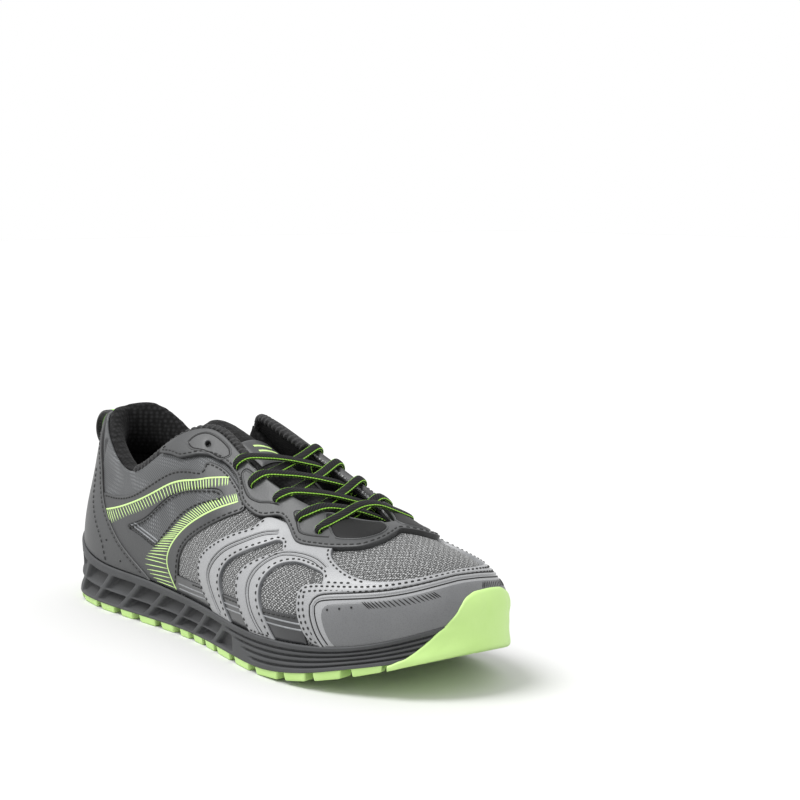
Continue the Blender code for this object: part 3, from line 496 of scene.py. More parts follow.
def strips(name, lines, width, height, base, look, body="shoe"):
    """Narrow raised strips along lines on the sheet: moulded ridges, printed lines, welts, and near-black strips
    of painted shade in pressed grooves.
    """
    points, faces, uvs = [], [], []
    for line in lines:
        line = np.asarray(line, float)
        along, up = steps(line[:, 0], line[:, 1])
        run = np.gradient(line, axis=0)
        side = unit(np.cross(np.cross(along, up), along * run[:, :1] + up * run[:, 1:]))
        place, out = sheet(line[:, 0], line[:, 1]), outward(line[:, 0], line[:, 1])
        taper = np.ones(len(line))
        taper[0] = taper[-1] = 0.25
        start = sum(len(p) for p in points)
        cuts = []
        for share, rise in SECTION:
            lift = base + np.where(rise < 0, -0.15, rise * height * taper)
            cuts.append(place + out * lift[:, None] + side * (share * width * taper)[:, None])
        points.append(np.stack(cuts, 1).reshape(-1, 3))
        uvs.append(np.repeat(laid_flat(line[:, 0], line[:, 1]), 5, axis=0))
        faces += [tuple(start + i for i in face) for face in grid_faces(len(line), 5)]
    return piece(name, np.concatenate(points), faces, look, np.concatenate(uvs), body=body)


def evenly(line, pitch, start=0.5):
    """Places and directions at an even pitch along a line on the sheet."""
    way = sheet(line[:, 0], line[:, 1])
    reach = np.concatenate([[0], np.cumsum(np.linalg.norm(np.diff(way, axis=0), axis=1))])
    marks = np.arange(pitch * start, reach[-1] - pitch * 0.3, pitch)
    spots = np.stack([np.interp(marks, reach, line[:, k]) for k in (0, 1)], -1)
    ahead = np.stack([np.interp(marks + 0.3, reach, line[:, k]) for k in (0, 1)], -1)
    behind = np.stack([np.interp(marks - 0.3, reach, line[:, k]) for k in (0, 1)], -1)
    return spots, ahead - behind


def stitches(name, lines, base, look, pitch=3.1, length=2.2, radius=0.45, body="shoe"):
    """Lockstitches: short rounded threads that dive into the layer at both ends; also the dark spots of painted
    shade in pressed dimples.
    """
    spots, runs = zip(*(evenly(np.asarray(line, float), pitch) for line in lines if len(line) > 3))
    spots, runs = np.concatenate(spots), np.concatenate(runs)
    along, up = steps(spots[:, 0], spots[:, 1])
    tangent = unit(along * runs[:, :1] + up * runs[:, 1:])
    out = unit(np.cross(along, up))
    side = np.cross(out, tangent)
    place = sheet(spots[:, 0], spots[:, 1]) + out * base
    rings = []
    for reach, swell, sink in ((-0.5, 0.45, 0.3), (-0.3, 1.0, 0.0), (0.3, 1.0, 0.0), (0.5, 0.45, 0.3)):
        for angle in (-20, 45, 90, 135, 200):
            rise = radius * (math.sin(math.radians(angle)) * swell - sink)
            wide = radius * math.cos(math.radians(angle)) * swell
            rings.append(place + tangent * reach * length + out * rise + side * wide)
    points = np.stack(rings, 1).reshape(-1, 3)
    faces = [tuple(20 * k + i for i in face) for k in range(len(spots)) for face in grid_faces(4, 5)]
    return piece(name, points, faces, look, np.repeat(laid_flat(spots[:, 0], spots[:, 1]), 20, axis=0),
                 body=body)


def mirrored(line):
    """The same line or outline on the medial side."""
    return [(24 - s, t) for s, t in reversed([tuple(p) for p in line])]


def both(lines):
    return [np.array(line, float) for line in lines] + [np.array(mirrored(line), float) for line in lines]


def parts_where(line, keep):
    """The runs of a closed line along which keep(s, t) holds."""
    kept = keep(line[:, 0], line[:, 1])
    if kept.all():
        return [np.concatenate([line, line[:1]])]
    first = int(np.argmin(kept))
    line, kept = np.roll(line, -first, 0), np.roll(kept, -first)
    cuts = np.flatnonzero(np.diff(kept.astype(int))) + 1
    return [run for run, on in zip(np.split(line, cuts), np.split(kept, cuts)) if on[0] and len(run) > 4]


def edge_lines(corners, inset, keep):
    """Sewing lines at a distance inside an outline."""
    loop = shifted(anticlockwise(trace(corners, closed=True)), inset, True)
    return parts_where(loop, keep)


def coated(name, dark, pale, grain, roughness, cut_edge_and_shade_hex, gloss=0.0):
    """Coated microfibre: fine leather grain, cloudy tone, and a darker cut edge that is partly painted shade
    along the rim, broken up by the cloud.
    """
    made, tree, shader = finish(name, roughness, Coat_Weight=gloss, Coat_Roughness=0.35)
    place = add(tree, "ShaderNodeTexCoord")
    pores = add(tree, "ShaderNodeTexVoronoi", {"Vector": place.outputs["Object"], "Scale": 1000 / grain})
    cloud = noise(tree, place.outputs["Object"], 45.0, 5.0)
    tone = mixed(tree, cloud.outputs["Fac"], linear(dark), linear(pale))
    pore = ramp(tree, pores.outputs["Distance"], 0, 0.5, 0.82, 1.06)
    grained = add(tree, "ShaderNodeMix", {"Factor": 1.0, "A": tone.outputs["Result"], "B": pore.outputs[0]},
                  data_type="RGBA", blend_type="MULTIPLY")
    # Painted shade: each panel's rim is darkened towards the cut-edge colour, which stands partly for the shadow
    # along its edge.
    rim = add(tree, "ShaderNodeAttribute", attribute_name="edge")
    broken = arithmetic(tree, "MULTIPLY", rim.outputs["Fac"], cloud.outputs["Fac"])
    cut_edge_and_shade_mask = ramp(tree, broken.outputs[0], 0.25, 0.6)
    edged = mixed(tree, cut_edge_and_shade_mask.outputs[0], grained.outputs["Result"], linear(cut_edge_and_shade_hex))
    coloured(tree, shader, edged)
    scuffs = ramp(tree, cloud.outputs["Fac"], 0, 1, roughness - 0.1, roughness + 0.12)
    tree.links.new(scuffs.outputs[0], shader.inputs["Roughness"])
    bumped(tree, shader, 0.35, 0.00012, pores.outputs["Distance"])
    return made


# Polyurethane-coated microfibre, embossed with a 0.7 mm grain: dull, with a soft wide highlight.
dark_microfibre = coated("dark_coated_microfibre", "303132", "444546", 0.7, 0.44, "0c0c0d")

# Screen-printed ink, pale lime: a thin smooth film that keeps a little of the grain below it.
lime_ink, tree, shader = finish("pale_lime_screen_ink", 0.45)
place = add(tree, "ShaderNodeTexCoord")
thin_spots = noise(tree, place.outputs["Object"], 700.0, 3.0)
ink_tone = mixed(tree, thin_spots.outputs["Fac"], linear("b9dc80"), linear("cdeb9c"))
coloured(tree, shader, ink_tone)

# Bonded polyester sewing thread, black, 0.7 mm thick, twisted: short bright glints across its lay.
black_thread, tree, shader = finish("black_bonded_thread", 0.5)
place = add(tree, "ShaderNodeTexCoord")
twist = add(tree, "ShaderNodeTexWave", {"Vector": place.outputs["Object"], "Scale": 900.0,
                                        "Distortion": 2.0}, bands_direction="DIAGONAL")
thread_tone = mixed(tree, twist.outputs["Fac"], linear("040404"), linear("161616"))
coloured(tree, shader, thread_tone)

QUARTER_OUTLINE = [(2.2, 0.03), (4.9, 0.03), (4.9, 0.03), (5.0, 0.10), (5.2, 0.26), (5.46, 0.36),
                   (5.95, 0.49), (6.62, 0.655), (7.05, 0.76), (7.0, 0.82), (6.6, 0.86), (6.15, 0.85),
                   (5.9, 0.825), (5.86, 0.79), (5.68, 0.762), (4.65, 0.695), (3.31, 0.60), (2.3, 0.46),
                   (1.9, 0.3)]
QUARTER_WINDOW = [(6.50, 0.745), (6.41, 0.705), (5.85, 0.60), (5.29, 0.475), (4.75, 0.325), (4.49, 0.262),
                  (4.05, 0.30), (3.69, 0.345), (4.2, 0.43), (4.67, 0.525), (5.3, 0.622), (6.0, 0.712),
                  (6.36, 0.755)]
UPPER_STRIPE = [(2.75, 0.375), (2.89, 0.402), (3.68, 0.54), (4.66, 0.612), (5.54, 0.695), (6.1, 0.775),
                (6.62, 0.845)]
UPPER_COMB = [(3.0, 0.29), (3.09, 0.303), (3.73, 0.435), (4.67, 0.538), (5.56, 0.645), (6.12, 0.73),
              (6.62, 0.81)]
LOWER_STRIPE = [(6.90, 0.775), (6.33, 0.655), (5.62, 0.485), (5.12, 0.352), (4.87, 0.262), (4.79, 0.19),
                (4.85, 0.12), (4.95, 0.045)]
LOWER_COMB = [(6.84, 0.805), (6.24, 0.69), (5.50, 0.525), (4.94, 0.38), (4.55, 0.285), (4.18, 0.175),
              (4.2, 0.10), (4.45, 0.04)]

for side_name, turned in (("lateral", list), ("medial", mirrored)):
    overlay = panel(side_name + "_quarter_overlay", turned(QUARTER_OUTLINE), 0.95, dark_microfibre,
                    holes=[turned(QUARTER_WINDOW)])
    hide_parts("quarter_overlay_" + side_name)


def comb(root, tips, strokes, reach=1.0):
    """Short strokes from one line to another, evenly spaced along both."""
    root, tips = trace(root), trace(tips)
    u = np.linspace(0.01, 0.985, strokes)
    ends = [np.stack([np.interp(u, np.linspace(0, 1, len(line)), line[:, k]) for k in (0, 1)], -1)
            for line in (root, tips)]
    return [np.linspace(a, a + (b - a) * reach, 5) for a, b in zip(*ends)]


GUSSET_OUTLINE = [(2.2, 0.95), (2.2, 0.95), (2.2, 0.5), (2.6, 0.3), (3.3, 0.22), (4.6, 0.20), (5.05, 0.34),
                  (5.5, 0.47), (6.1, 0.60), (6.7, 0.72), (7.0, 0.79), (6.9, 0.86), (6.2, 0.90), (5.4, 0.93),
                  (4.9, 0.965), (4.0, 0.97), (3.0, 0.97)]
for side_name, turned in (("lateral", list), ("medial", mirrored)):
    panel(side_name + "_quarter_gusset", turned(GUSSET_OUTLINE), 0.35, ribbed_nylon)
strips("quarter_stripes", both([trace(UPPER_STRIPE), trace(LOWER_STRIPE)]), 1.15, 0.1, 0.97, lime_ink)
strips("quarter_stripe_combs", both(comb(UPPER_STRIPE, UPPER_COMB, 46) + comb(LOWER_STRIPE, LOWER_COMB,
    46)), 0.62, 0.08, 0.96, lime_ink)
quarter_sewing = edge_lines(QUARTER_OUTLINE, 1.5, lambda s, t: (s > 2.6) & (t > 0.07))
quarter_sewing += [shifted(trace(QUARTER_WINDOW, closed=True), d, True) for d in (-1.5,)]
stitches("quarter_overlay_stitching", both(quarter_sewing), 0.98, black_thread)

# ---------------------------------------------------------------- mudguard rands
# Glossy thermoplastic strips along the foot of the upper between the quarter and the toe cap, pressed with two
# fine silver ridges, and sewn at their upper edge.
# Thermoplastic polyurethane film: near black, smooth and shiny, with faint ripples from the last.
glossy_film, tree, shader = finish("glossy_dark_tpu_film", 0.28, Coat_Weight=0.3, Coat_Roughness=0.2)
place = add(tree, "ShaderNodeTexCoord")
ripple = noise(tree, place.outputs["Object"], 60.0, 2.0)
film_tone = mixed(tree, ripple.outputs["Fac"], linear("1c1d1e"), linear("38393b"))
coloured(tree, shader, film_tone)
bumped(tree, shader, 0.3, 0.0008, ripple.outputs["Fac"])

# Silver ridges: the same film with a metallic print that has rubbed thin in places.
silver_print, tree, shader = finish("rubbed_silver_print", 0.35, Metallic=0.3)
place = add(tree, "ShaderNodeTexCoord")
rub = noise(tree, place.outputs["Object"], 350.0, 3.0)
print_tone = mixed(tree, rub.outputs["Fac"], linear("6c6e70"), linear("9c9ea1"))
coloured(tree, shader, print_tone)

PRESSED_BARS = [[(3.8, 0.385), (4.2, 0.335), (4.66, 0.285)], [(3.72, 0.365), (4.1, 0.32), (4.56, 0.27)]]
strips("quarter_window_ridges", both([trace(line) for line in PRESSED_BARS]), 1.0, 0.3, 0.35, silver_print)

RAND_OUTLINE = [(4.95, 0.03), (8.95, 0.03), (8.95, 0.03), (8.9, 0.25), (8.9, 0.25), (8.3, 0.243),
                (7.4, 0.232), (6.8, 0.215), (6.2, 0.185), (5.5, 0.155), (5.0, 0.150), (5.0, 0.150)]
RAND_RIDGE = [(5.05, 0.10), (5.6, 0.112), (6.2, 0.138), (7.0, 0.172), (7.6, 0.19), (8.2, 0.195), (8.9, 0.19)]
for side_name, turned in (("lateral", list), ("medial", mirrored)):
    rand = panel(side_name + "_rand", turned(RAND_OUTLINE), 0.9, glossy_film, spacing=3.0)
    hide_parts("rand_" + side_name)
ridge = trace(RAND_RIDGE)
strips("rand_ridges", both([shifted(ridge, 0.0), shifted(ridge, -2.6)]), 0.9, 0.3, 0.9, silver_print)
stitches("rand_stitching", both([shifted(trace([(8.9, 0.25), (8.3, 0.243), (7.4, 0.232), (6.8, 0.215),
                                                (6.2, 0.185), (5.5, 0.155)]), 1.3)]), 0.95, black_thread)

# ---------------------------------------------------------------- silver side overlays
# One silver-grey coated panel a side: two fingers that run down between the mesh windows and a saddle that
# passes under the eyestay, sewn along both edges and pressed with a ridge down the middle of each finger.
# Silver-pigmented polyurethane on microfibre: fine grain, slight metallic sheen, darker at the cut edges, partly
# as painted shade.
silver_microfibre = coated("silver_coated_microfibre", "868789", "9c9d9e", 0.6, 0.38, "55575a")

SILVER_OUTLINE = [(6.2, 0.03), (6.2, 0.03), (6.85, 0.03), (6.85, 0.03), (6.72, 0.14), (6.64, 0.25),
                  (6.68, 0.335), (6.86, 0.43), (7.2, 0.53), (7.6, 0.628), (7.86, 0.685), (8.0, 0.685),
                  (8.02, 0.65), (7.95, 0.615), (7.65, 0.55), (7.37, 0.47), (7.2, 0.39), (7.16, 0.30),
                  (7.26, 0.18), (7.48, 0.03), (7.48, 0.03), (8.2, 0.03), (8.2, 0.03), (8.05, 0.15),
                  (7.9, 0.25), (7.83, 0.34), (7.86, 0.43), (8.06, 0.53), (8.41, 0.575), (8.84, 0.556),
                  (9.15, 0.52), (9.2, 0.45), (9.2, 0.45), (11.3, 0.46), (11.3, 0.46), (11.1, 0.487),
                  (10.7, 0.483), (10.24, 0.492), (9.85, 0.522), (9.5, 0.572), (9.25, 0.63), (9.2, 0.68),
                  (9.3, 0.74), (9.3, 0.76), (8.6, 0.76), (8.3, 0.80), (7.9, 0.81), (7.62, 0.79),
                  (7.42, 0.74), (7.28, 0.69), (6.92, 0.61), (6.45, 0.495), (6.07, 0.38), (5.9, 0.27),
                  (5.95, 0.16)]
for side_name, turned in (("lateral", list), ("medial", mirrored)):
    overlay = panel(side_name + "_silver_overlay", turned(SILVER_OUTLINE), 1.8, silver_microfibre)
    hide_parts("side_overlay_" + side_name)
finger_ridges = [[(7.9, 0.745), (7.55, 0.695), (7.15, 0.60), (6.7, 0.485), (6.38, 0.365), (6.25, 0.26),
                  (6.35, 0.15), (6.5, 0.05)], [(9.2, 0.56), (8.9, 0.61), (8.5, 0.635), (8.1, 0.62),
                                               (7.8, 0.55), (7.57, 0.44), (7.5, 0.33), (7.6, 0.2),
                                               (7.85, 0.05)]]
finger_lines = [trace(line) for line in finger_ridges]
strips("silver_overlay_ridges", both([shifted(line, d) for line in finger_lines for d in (-0.9, 0.9)]), 1.0,
       0.4, 1.8, silver_microfibre)
# Painted shade for the pressed grooves and dimples: matt near-black strips and spots that stand in for the
# shadow inside them; the same black also prints the ladder of bars on the toe.
groove_shade_and_print, tree, shader = finish("painted_groove_shade_and_black_print", 0.8)
place = add(tree, "ShaderNodeTexCoord")
flow = noise(tree, place.outputs["Object"], 500.0, 2.0)
shade_and_print_tone = mixed(tree, flow.outputs["Fac"], linear("080808"), linear("151516"))
coloured(tree, shader, shade_and_print_tone)
# Painted shade: near-black strips along each finger ridge stand in for the shadow in its pressed grooves.
strips("silver_overlay_groove_shade", both([line for line in finger_lines]
                                      + [shifted(line, 2.0) for line in finger_lines]), 0.5, 0.12, 1.82,
       groove_shade_and_print)
stitches("silver_overlay_stitching", both(edge_lines(SILVER_OUTLINE, 1.5, lambda s,
                                                     t: (t > 0.06) & ((t < 0.745) | (s < 7.6))
                                                     & ((s < 9.9) | (t > 0.478)) & (s < 10.6)
                                                     & ((t > 0.47) | (s < 9.1)))), 1.82, black_thread,
         length=1.6)

# ---------------------------------------------------------------- toe cap
# Silver-grey coated panel wrapped over the toe and sewn with two rows of stitching, with a pressed border, three
# small dimples and a short printed ladder of slanting bars; near-black strips and spots in the border's grooves
# and the dimples are painted shade.
TOE_SIDE = [(9.3, 0.03), (9.3, 0.03), (9.12, 0.05), (8.95, 0.124), (8.83, 0.221), (8.76, 0.314),
            (8.74, 0.40), (8.88, 0.445), (9.38, 0.465), (10.34, 0.472), (11.27, 0.488)]
TOE_OUTLINE = TOE_SIDE + [(12.0, 0.495)] + mirrored(TOE_SIDE)
toe_panel = panel("toe_panel", TOE_OUTLINE, 1.8, silver_microfibre, spacing=2.0)
# Inside the border the same coating is smoother, pressed a little proud and painted darker: partly a darker tone
# of its own, partly painted shade on the toe.
toe_field_microfibre_with_shade = coated("grey_coated_microfibre_with_painted_shade", "5c5d5f", "707172", 0.6, 0.42, "3c3d3e")
FIELD_SIDE = [(9.56, 0.03), (9.56, 0.03), (9.46, 0.09), (9.37, 0.18), (9.32, 0.27), (9.37, 0.318),
              (9.6, 0.34), (10.44, 0.361), (11.3, 0.381)]
panel("toe_panel_field", FIELD_SIDE + [(12.0, 0.391)] + mirrored(FIELD_SIDE), 2.05, toe_field_microfibre_with_shade,
              spacing=2.0)
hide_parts("toe_cap")


def off_the_sole(s, t):
    return (t > 0.24) | ((t > 0.055) & ((s < 9.24) | (s > 14.76)))


stitches("toe_panel_stitching", [line for inset in (1.5, 3.7) for line in edge_lines(TOE_OUTLINE, inset,
    off_the_sole)], 1.82, black_thread, pitch=2.7, length=1.5)
TOE_BORDER = [(9.42, 0.05), (9.28, 0.16), (9.18, 0.283), (9.2, 0.335), (9.45, 0.362), (10.44, 0.381),
              (11.3, 0.402), (12.0, 0.412)]
border = np.array(list(trace(TOE_BORDER)) + [p for p in mirrored(trace(TOE_BORDER))[1:]])
strips("toe_panel_border", [shifted(border, 1.5), shifted(border, 3.4)], 1.5, 0.45, 1.8, silver_microfibre)
# Painted shade: near-black strips stand in for the shadow in the border's pressed grooves.
strips("toe_panel_groove_shade", [border, shifted(border, 2.5)], 0.75, 0.15, 1.82, groove_shade_and_print)
BARS = 19
bar_tops = trace([(10.1, 0.352), (11.42, 0.372)], 0.5)
bar_feet = trace([(10.24, 0.306), (11.54, 0.322)], 0.5)
strips("toe_panel_bars", comb(bar_tops, bar_feet, BARS) + [np.array(mirrored(bar)) for bar in comb(bar_tops,
    bar_feet, BARS)], 0.6, 0.1, 2.08, groove_shade_and_print)
# Painted shade: dark spots stand in for the shadow inside the three dimples.
stitches("toe_panel_dimple_shade", both([trace([(s - 0.02, t), (s + 0.02, t)], 0.2) for s,
                                    t in ((9.44, 0.30), (9.68, 0.309), (9.91, 0.317))]), 2.05, groove_shade_and_print,
         pitch=1.0, length=1.0, radius=0.5)

# ---------------------------------------------------------------- heel overlay
# Dark coated panel moulded over the heel counter, from the sole up to the pull loop, with stitched edges, an
# inner sewn line down each side and three pressed ridges under the collar.
HEEL_SIDE = [(0.0, 0.975), (0.9, 0.965), (1.5, 0.93), (1.9, 0.83), (2.25, 0.69), (2.5, 0.55), (2.85, 0.40),
             (3.4, 0.23), (4.0, 0.10), (4.25, 0.03), (4.25, 0.03)]
HEEL_OUTLINE = HEEL_SIDE[::-1] + [(-s, t) for s, t in HEEL_SIDE[1:]]
heel_panel = panel("heel_panel", HEEL_OUTLINE, 1.8, dark_microfibre)
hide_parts("heel_overlay")


def two_sides(lines):
    """Lines near the heel, and the same lines on the medial side of it."""
    return [np.array(line) for line in lines] + [np.array(line) * [-1, 1] for line in lines]


inner_line = trace([(1.95, 0.62), (2.1, 0.50), (2.28, 0.38), (2.6, 0.26), (2.88, 0.17), (3.04, 0.05)])
stitches("heel_panel_stitching", edge_lines(HEEL_OUTLINE, 1.5, lambda s, t: ((t > 0.16) | (abs(s) > 3.6))
                                            & (t > 0.06) & (t < 0.9)) + two_sides([inner_line]), 1.82,
         black_thread)
PRESSED = [(2.0, 0.93), (2.06, 0.86), (2.19, 0.77), (2.38, 0.66)]
strips("heel_panel_ridges", two_sides([shifted(trace(PRESSED), d) for d in (0, 2.2, 4.4)]),
       0.9, 0.35, 0.0, dark_microfibre)
# Painted shade: near-black strips between the pressed ridges stand in for the shadow in the grooves.
strips("heel_panel_groove_shade", two_sides([shifted(trace(PRESSED), d) for d in (1.1, 3.3)]), 0.6, 0.1, 0.0,
       groove_shade_and_print)
# Painted shade: dark spots stand in for the shadow inside two dimples on each side.
stitches("heel_panel_dimple_shade", two_sides([trace([(s - 0.02, t), (s + 0.02, t)], 0.2) for s,
                                          t in ((3.06, 0.194), (3.5, 0.099))]), 1.8, groove_shade_and_print,
         pitch=1.0, length=1.0, radius=0.5)

# ---------------------------------------------------------------- eyestay
# Dark coated panel round the throat that carries six punched eyelets a side, the top one unused, with sewn outer
# edge and pressed outlines round the eyelets.
EYELETS = [(5.94, 0.91), (6.84, 0.91), (7.27, 0.89), (7.92, 0.90), (8.43, 0.85), (8.89, 0.80)]
EYELET_RADIUS = 1.9
EYESTAY_SIDE = [(4.72, 0.985), (4.72, 0.985), (4.70, 0.93), (4.78, 0.885), (5.0, 0.83), (5.2, 0.80),
                (5.45, 0.815), (5.74, 0.845), (6.16, 0.872), (6.6, 0.885), (6.86, 0.872), (6.93, 0.835),
                (6.96, 0.80), (7.06, 0.775), (7.3, 0.765), (7.5, 0.775), (7.85, 0.82), (8.02, 0.825),
                (8.12, 0.79), (8.24, 0.725), (8.4, 0.70), (8.8, 0.695), (9.2, 0.695), (9.88, 0.72),
                (10.4, 0.775), (11.04, 0.845), (11.6, 0.885)]
throat = [(4.72 + k * 0.4, 0.985) for k in range(1, 36)]
EYESTAY_OUTLINE = EYESTAY_SIDE + [(12.0, 0.90)] + mirrored(EYESTAY_SIDE) + [(24 - s, t) for s, t in throat]


def eyelet_ring(station, height, radius):
    angle = np.linspace(0, 2 * math.pi, 15)[:-1]
    along, up = steps(station, height)
    return [(station + radius * math.cos(a) / np.linalg.norm(along),
             height + radius * math.sin(a) / np.linalg.norm(up)) for a in angle]


eyestay_holes = [eyelet_ring(s, t, EYELET_RADIUS) for s, t in EYELETS + mirrored(EYELETS)]
eyestay_panel = panel("eyestay_panel", EYESTAY_OUTLINE, 2.6, dark_microfibre, holes=eyestay_holes,
                      spacing=2.0)
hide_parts("eyestay")
stitches("eyestay_stitching", edge_lines(EYESTAY_OUTLINE, 1.6, lambda s, t: t < 0.955), 2.62, black_thread,
         length=2.2, radius=0.42)
insets = [[(5.42, 0.90), (5.55, 0.935), (5.8, 0.957), (6.2, 0.957), (6.58, 0.952), (6.62, 0.935),
           (6.45, 0.90), (6.30, 0.885), (5.9, 0.875), (5.55, 0.868), (5.42, 0.90)],
          [(7.55, 0.96), (7.2, 0.95), (7.0, 0.90), (7.08, 0.85), (7.2, 0.825), (7.45, 0.835), (7.75, 0.868),
           (8.0, 0.885)], [(8.9, 0.93), (8.6, 0.915), (8.36, 0.885), (8.36, 0.83), (8.4, 0.77),
                           (8.7, 0.758), (9.14, 0.763)]]
inset_lines = [trace(line) for line in insets]
# Painted shade: near-black strips stand in for the shadow in the pressed outlines round the eyelets.
strips("eyestay_pressed_line_shade", both(inset_lines), 0.8, 0.12, 2.62, groove_shade_and_print)
strips("eyestay_pressed_ridges", both([shifted(line, 0.9) for line in inset_lines]), 0.9, 0.3, 2.6,
       dark_microfibre)

# The front of the throat is filled on each side by a dark film inset with a sewn rim.
# Black film, smooth and nearly matt.
black_film, tree, shader = finish("satin_black_film", 0.55, Specular_IOR_Level=0.2)
place = add(tree, "ShaderNodeTexCoord")
ripple = noise(tree, place.outputs["Object"], 90.0, 3.0)
film_tone = mixed(tree, ripple.outputs["Fac"], linear("060606"), linear("151516"))
coloured(tree, shader, film_tone)
bumped(tree, shader, 0.4, 0.0006, ripple.outputs["Fac"])
THROAT_INSET = [(9.3, 0.775), (9.65, 0.772), (10.0, 0.79), (10.45, 0.835), (10.85, 0.88), (11.25, 0.935),
                (11.2, 0.975), (11.0, 0.98), (10.0, 0.98), (9.35, 0.975), (9.2, 0.93), (9.22, 0.86)]
for side_name, turned in (("lateral", list), ("medial", mirrored)):
    panel(side_name + "_throat_inset", turned(THROAT_INSET), 2.95, black_film)
strips("throat_inset_rims", both([shifted(trace(THROAT_INSET, closed=True), -0.5, True)]), 1.0, 0.5, 2.6,
       dark_microfibre)

# ---------------------------------------------------------------- midsole
# One moulded EVA foam wedge glued round the feather line: two rows of slanting windows round the heel and arch,
# long grooves along the forefoot, and a plain lip that grips the upper.
SOLE_FLARE = [5, 4.5, 4, 4, 3, 2, 1.5, 1.5, 2.5, 3, 3, 4, 4.5, 4, 3, 3, 3, 2, 2, 2, 3, 4, 4, 4.5]


def ease(value, start, end):
    u = np.clip((np.asarray(value, float) - start) / (end - start), 0, 1)
    return u * u * (3 - 2 * u)


def ground(x):
    """Underside of the tread: bevelled behind the heel and sprung up at the toe."""
    return 22 * np.clip((x - 205) / 95, 0, None) ** 1.9 + 9 * np.clip((22 - x) / 22, 0, None) ** 1.8


def plate_underside(x):
    return ground(x) + 3.5 * (1 - 0.6 * ease(x, 255, 292))


def plan_outward(s):
    run = sheet(s + 0.1, np.zeros_like(s)) - sheet(s - 0.1, np.zeros_like(s))
    return unit(np.stack([run[..., 1], -run[..., 0], np.zeros_like(s)], -1))


def flare(s):
    return np.interp(s % 24, np.arange(25), SOLE_FLARE + SOLE_FLARE[:1])


def side_station(s):
    """Stations counted from the heel on either side."""
    return np.minimum(s % 24, 24 - s % 24)


def sidewall(s, share, outset=0.0):
    """Outer face of the midsole from its foot (share 0) to its lip (share 1)."""
    s, share = np.broadcast_arrays(np.asarray(s, float), np.asarray(share, float))
    feather, out = sheet(s, np.zeros_like(s)), plan_outward(s)
    foot = feather + out * (flare(s) + outset)[..., None]
    foot[..., 2] = plate_underside(foot[..., 0]) + 0.35 + 0.25 * ease(side_station(s), 7, 9)
    lip = feather + out * (3.0 + outset)[..., None] if np.ndim(outset) else feather + out * (3.0 + outset)
    lip[..., 2] = feather[..., 2] + 0.6
    return foot + (lip - foot) * share[..., None] - out * (np.sin(math.pi * share) * 0.8)[..., None]


def band(value, low, high, soft):
    """1 between low and high, falling to 0 over a soft edge."""
    return ease(value, low - soft, low + soft) * (1 - ease(value, high - soft, high + soft))


RIBS = [0.65, 1.4, 2.2, 3.03, 3.78, 4.42, 5.12, 5.75, 6.4]
WINDOW_ROWS = [(0.40, 0.79), (0.06, 0.34)]
GROOVES = [(0.80, 6.6), (0.60, 6.85), (0.40, 7.1), (0.20, 7.35)]


def midsole_relief(s, share):
    """Depth in millimetres of the windows and grooves."""
    near = side_station(s)
    along = near - 0.6 * (share - 0.5)
    depth = np.zeros_like(near)
    for low, high in WINDOW_ROWS:
        rise = np.clip((share - low) / (high - low), 0, 1)
        floor = 1.6 + 3.0 * rise
        for before, after in zip(RIBS, RIBS[1:]):
            depth = np.maximum(depth, floor * band(along, before + 0.085, after - 0.085, 0.035)
                               * band(share, low, high, 0.03))
    tail = band(along, 6.49, 6.5 + 0.62 * (1 - share), 0.03) * band(share, 0.1, 0.62, 0.03)
    depth = np.maximum(depth, 2.6 * tail)
    for level, start in GROOVES:
        depth = np.maximum(depth, 1.5 * band(share, level - 0.035, level + 0.035, 0.03) * ease(near, start,
            start + 0.2) * (1 - ease(near, 11.2, 11.5)))
    for level in (0.25, 0.45, 0.65):
        depth = np.maximum(depth, 1.3 * band(share, level - 0.03, level + 0.03, 0.03)
                           * (1 - ease(near, 0.4, 0.5)))
    return depth


# Compression-moulded EVA: a dull closed skin with a fine pebble and a cloudy tone, darkened in the windows and
# grooves by their depth as painted shade.
eva_foam, tree, shader = finish("dark_grey_moulded_eva", 0.62)
place = add(tree, "ShaderNodeTexCoord")
pebble = noise(tree, place.outputs["Object"], 1400.0, 2.0)
cloud = noise(tree, place.outputs["Object"], 55.0, 4.0)
foam_tone = mixed(tree, cloud.outputs["Fac"], linear("303132"), linear("48494b"))
# Painted shade: the foam is mixed towards near black where the edge attribute holds the depth of a window or
# groove.
sunk = add(tree, "ShaderNodeAttribute", attribute_name="edge")
foam_shade = mixed(tree, sunk.outputs["Fac"], foam_tone.outputs["Result"], linear("161617"))
coloured(tree, shader, foam_shade)
bumped(tree, shader, 0.4, 0.0002, pebble.outputs["Fac"])

wall_s = np.arange(0, 24, 0.03)
wall_h = np.linspace(0, 1, 44)
S, H = np.meshgrid(wall_s, wall_h, indexing="ij")
relief_depth = midsole_relief(S, H)
wall = sidewall(S, H) - plan_outward(S) * relief_depth[..., None]
inner_foot = sidewall(wall_s, np.zeros_like(wall_s), -9.0)
inner_foot[:, 2] += 0.3
lip_edge = sidewall(wall_s, np.ones_like(wall_s))
lip_top = lip_edge - plan_outward(wall_s) * 0.7 + [0, 0, 0.7]
ledge = off(wall_s, np.full_like(wall_s, 0.012), 0.4)
tucked = off(wall_s, np.full_like(wall_s, -0.12), 0.2)
rings = np.concatenate([inner_foot[:, None], wall, lip_top[:, None], ledge[:, None], tucked[:, None]], 1)
# The depth of each window and groove, stored as edge, darkens the foam there as painted shade.
recess_shade_depth = np.concatenate([np.zeros((len(wall_s), 1)), relief_depth / 4.6, np.zeros((len(wall_s), 3))], 1)
midsole_foam = piece("midsole_foam", rings.reshape(-1, 3), grid_faces(len(wall_s), rings.shape[1], True),
                     eva_foam, edge=np.clip(recess_shade_depth.ravel() * 0.8, 0, 1))
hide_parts("midsole")

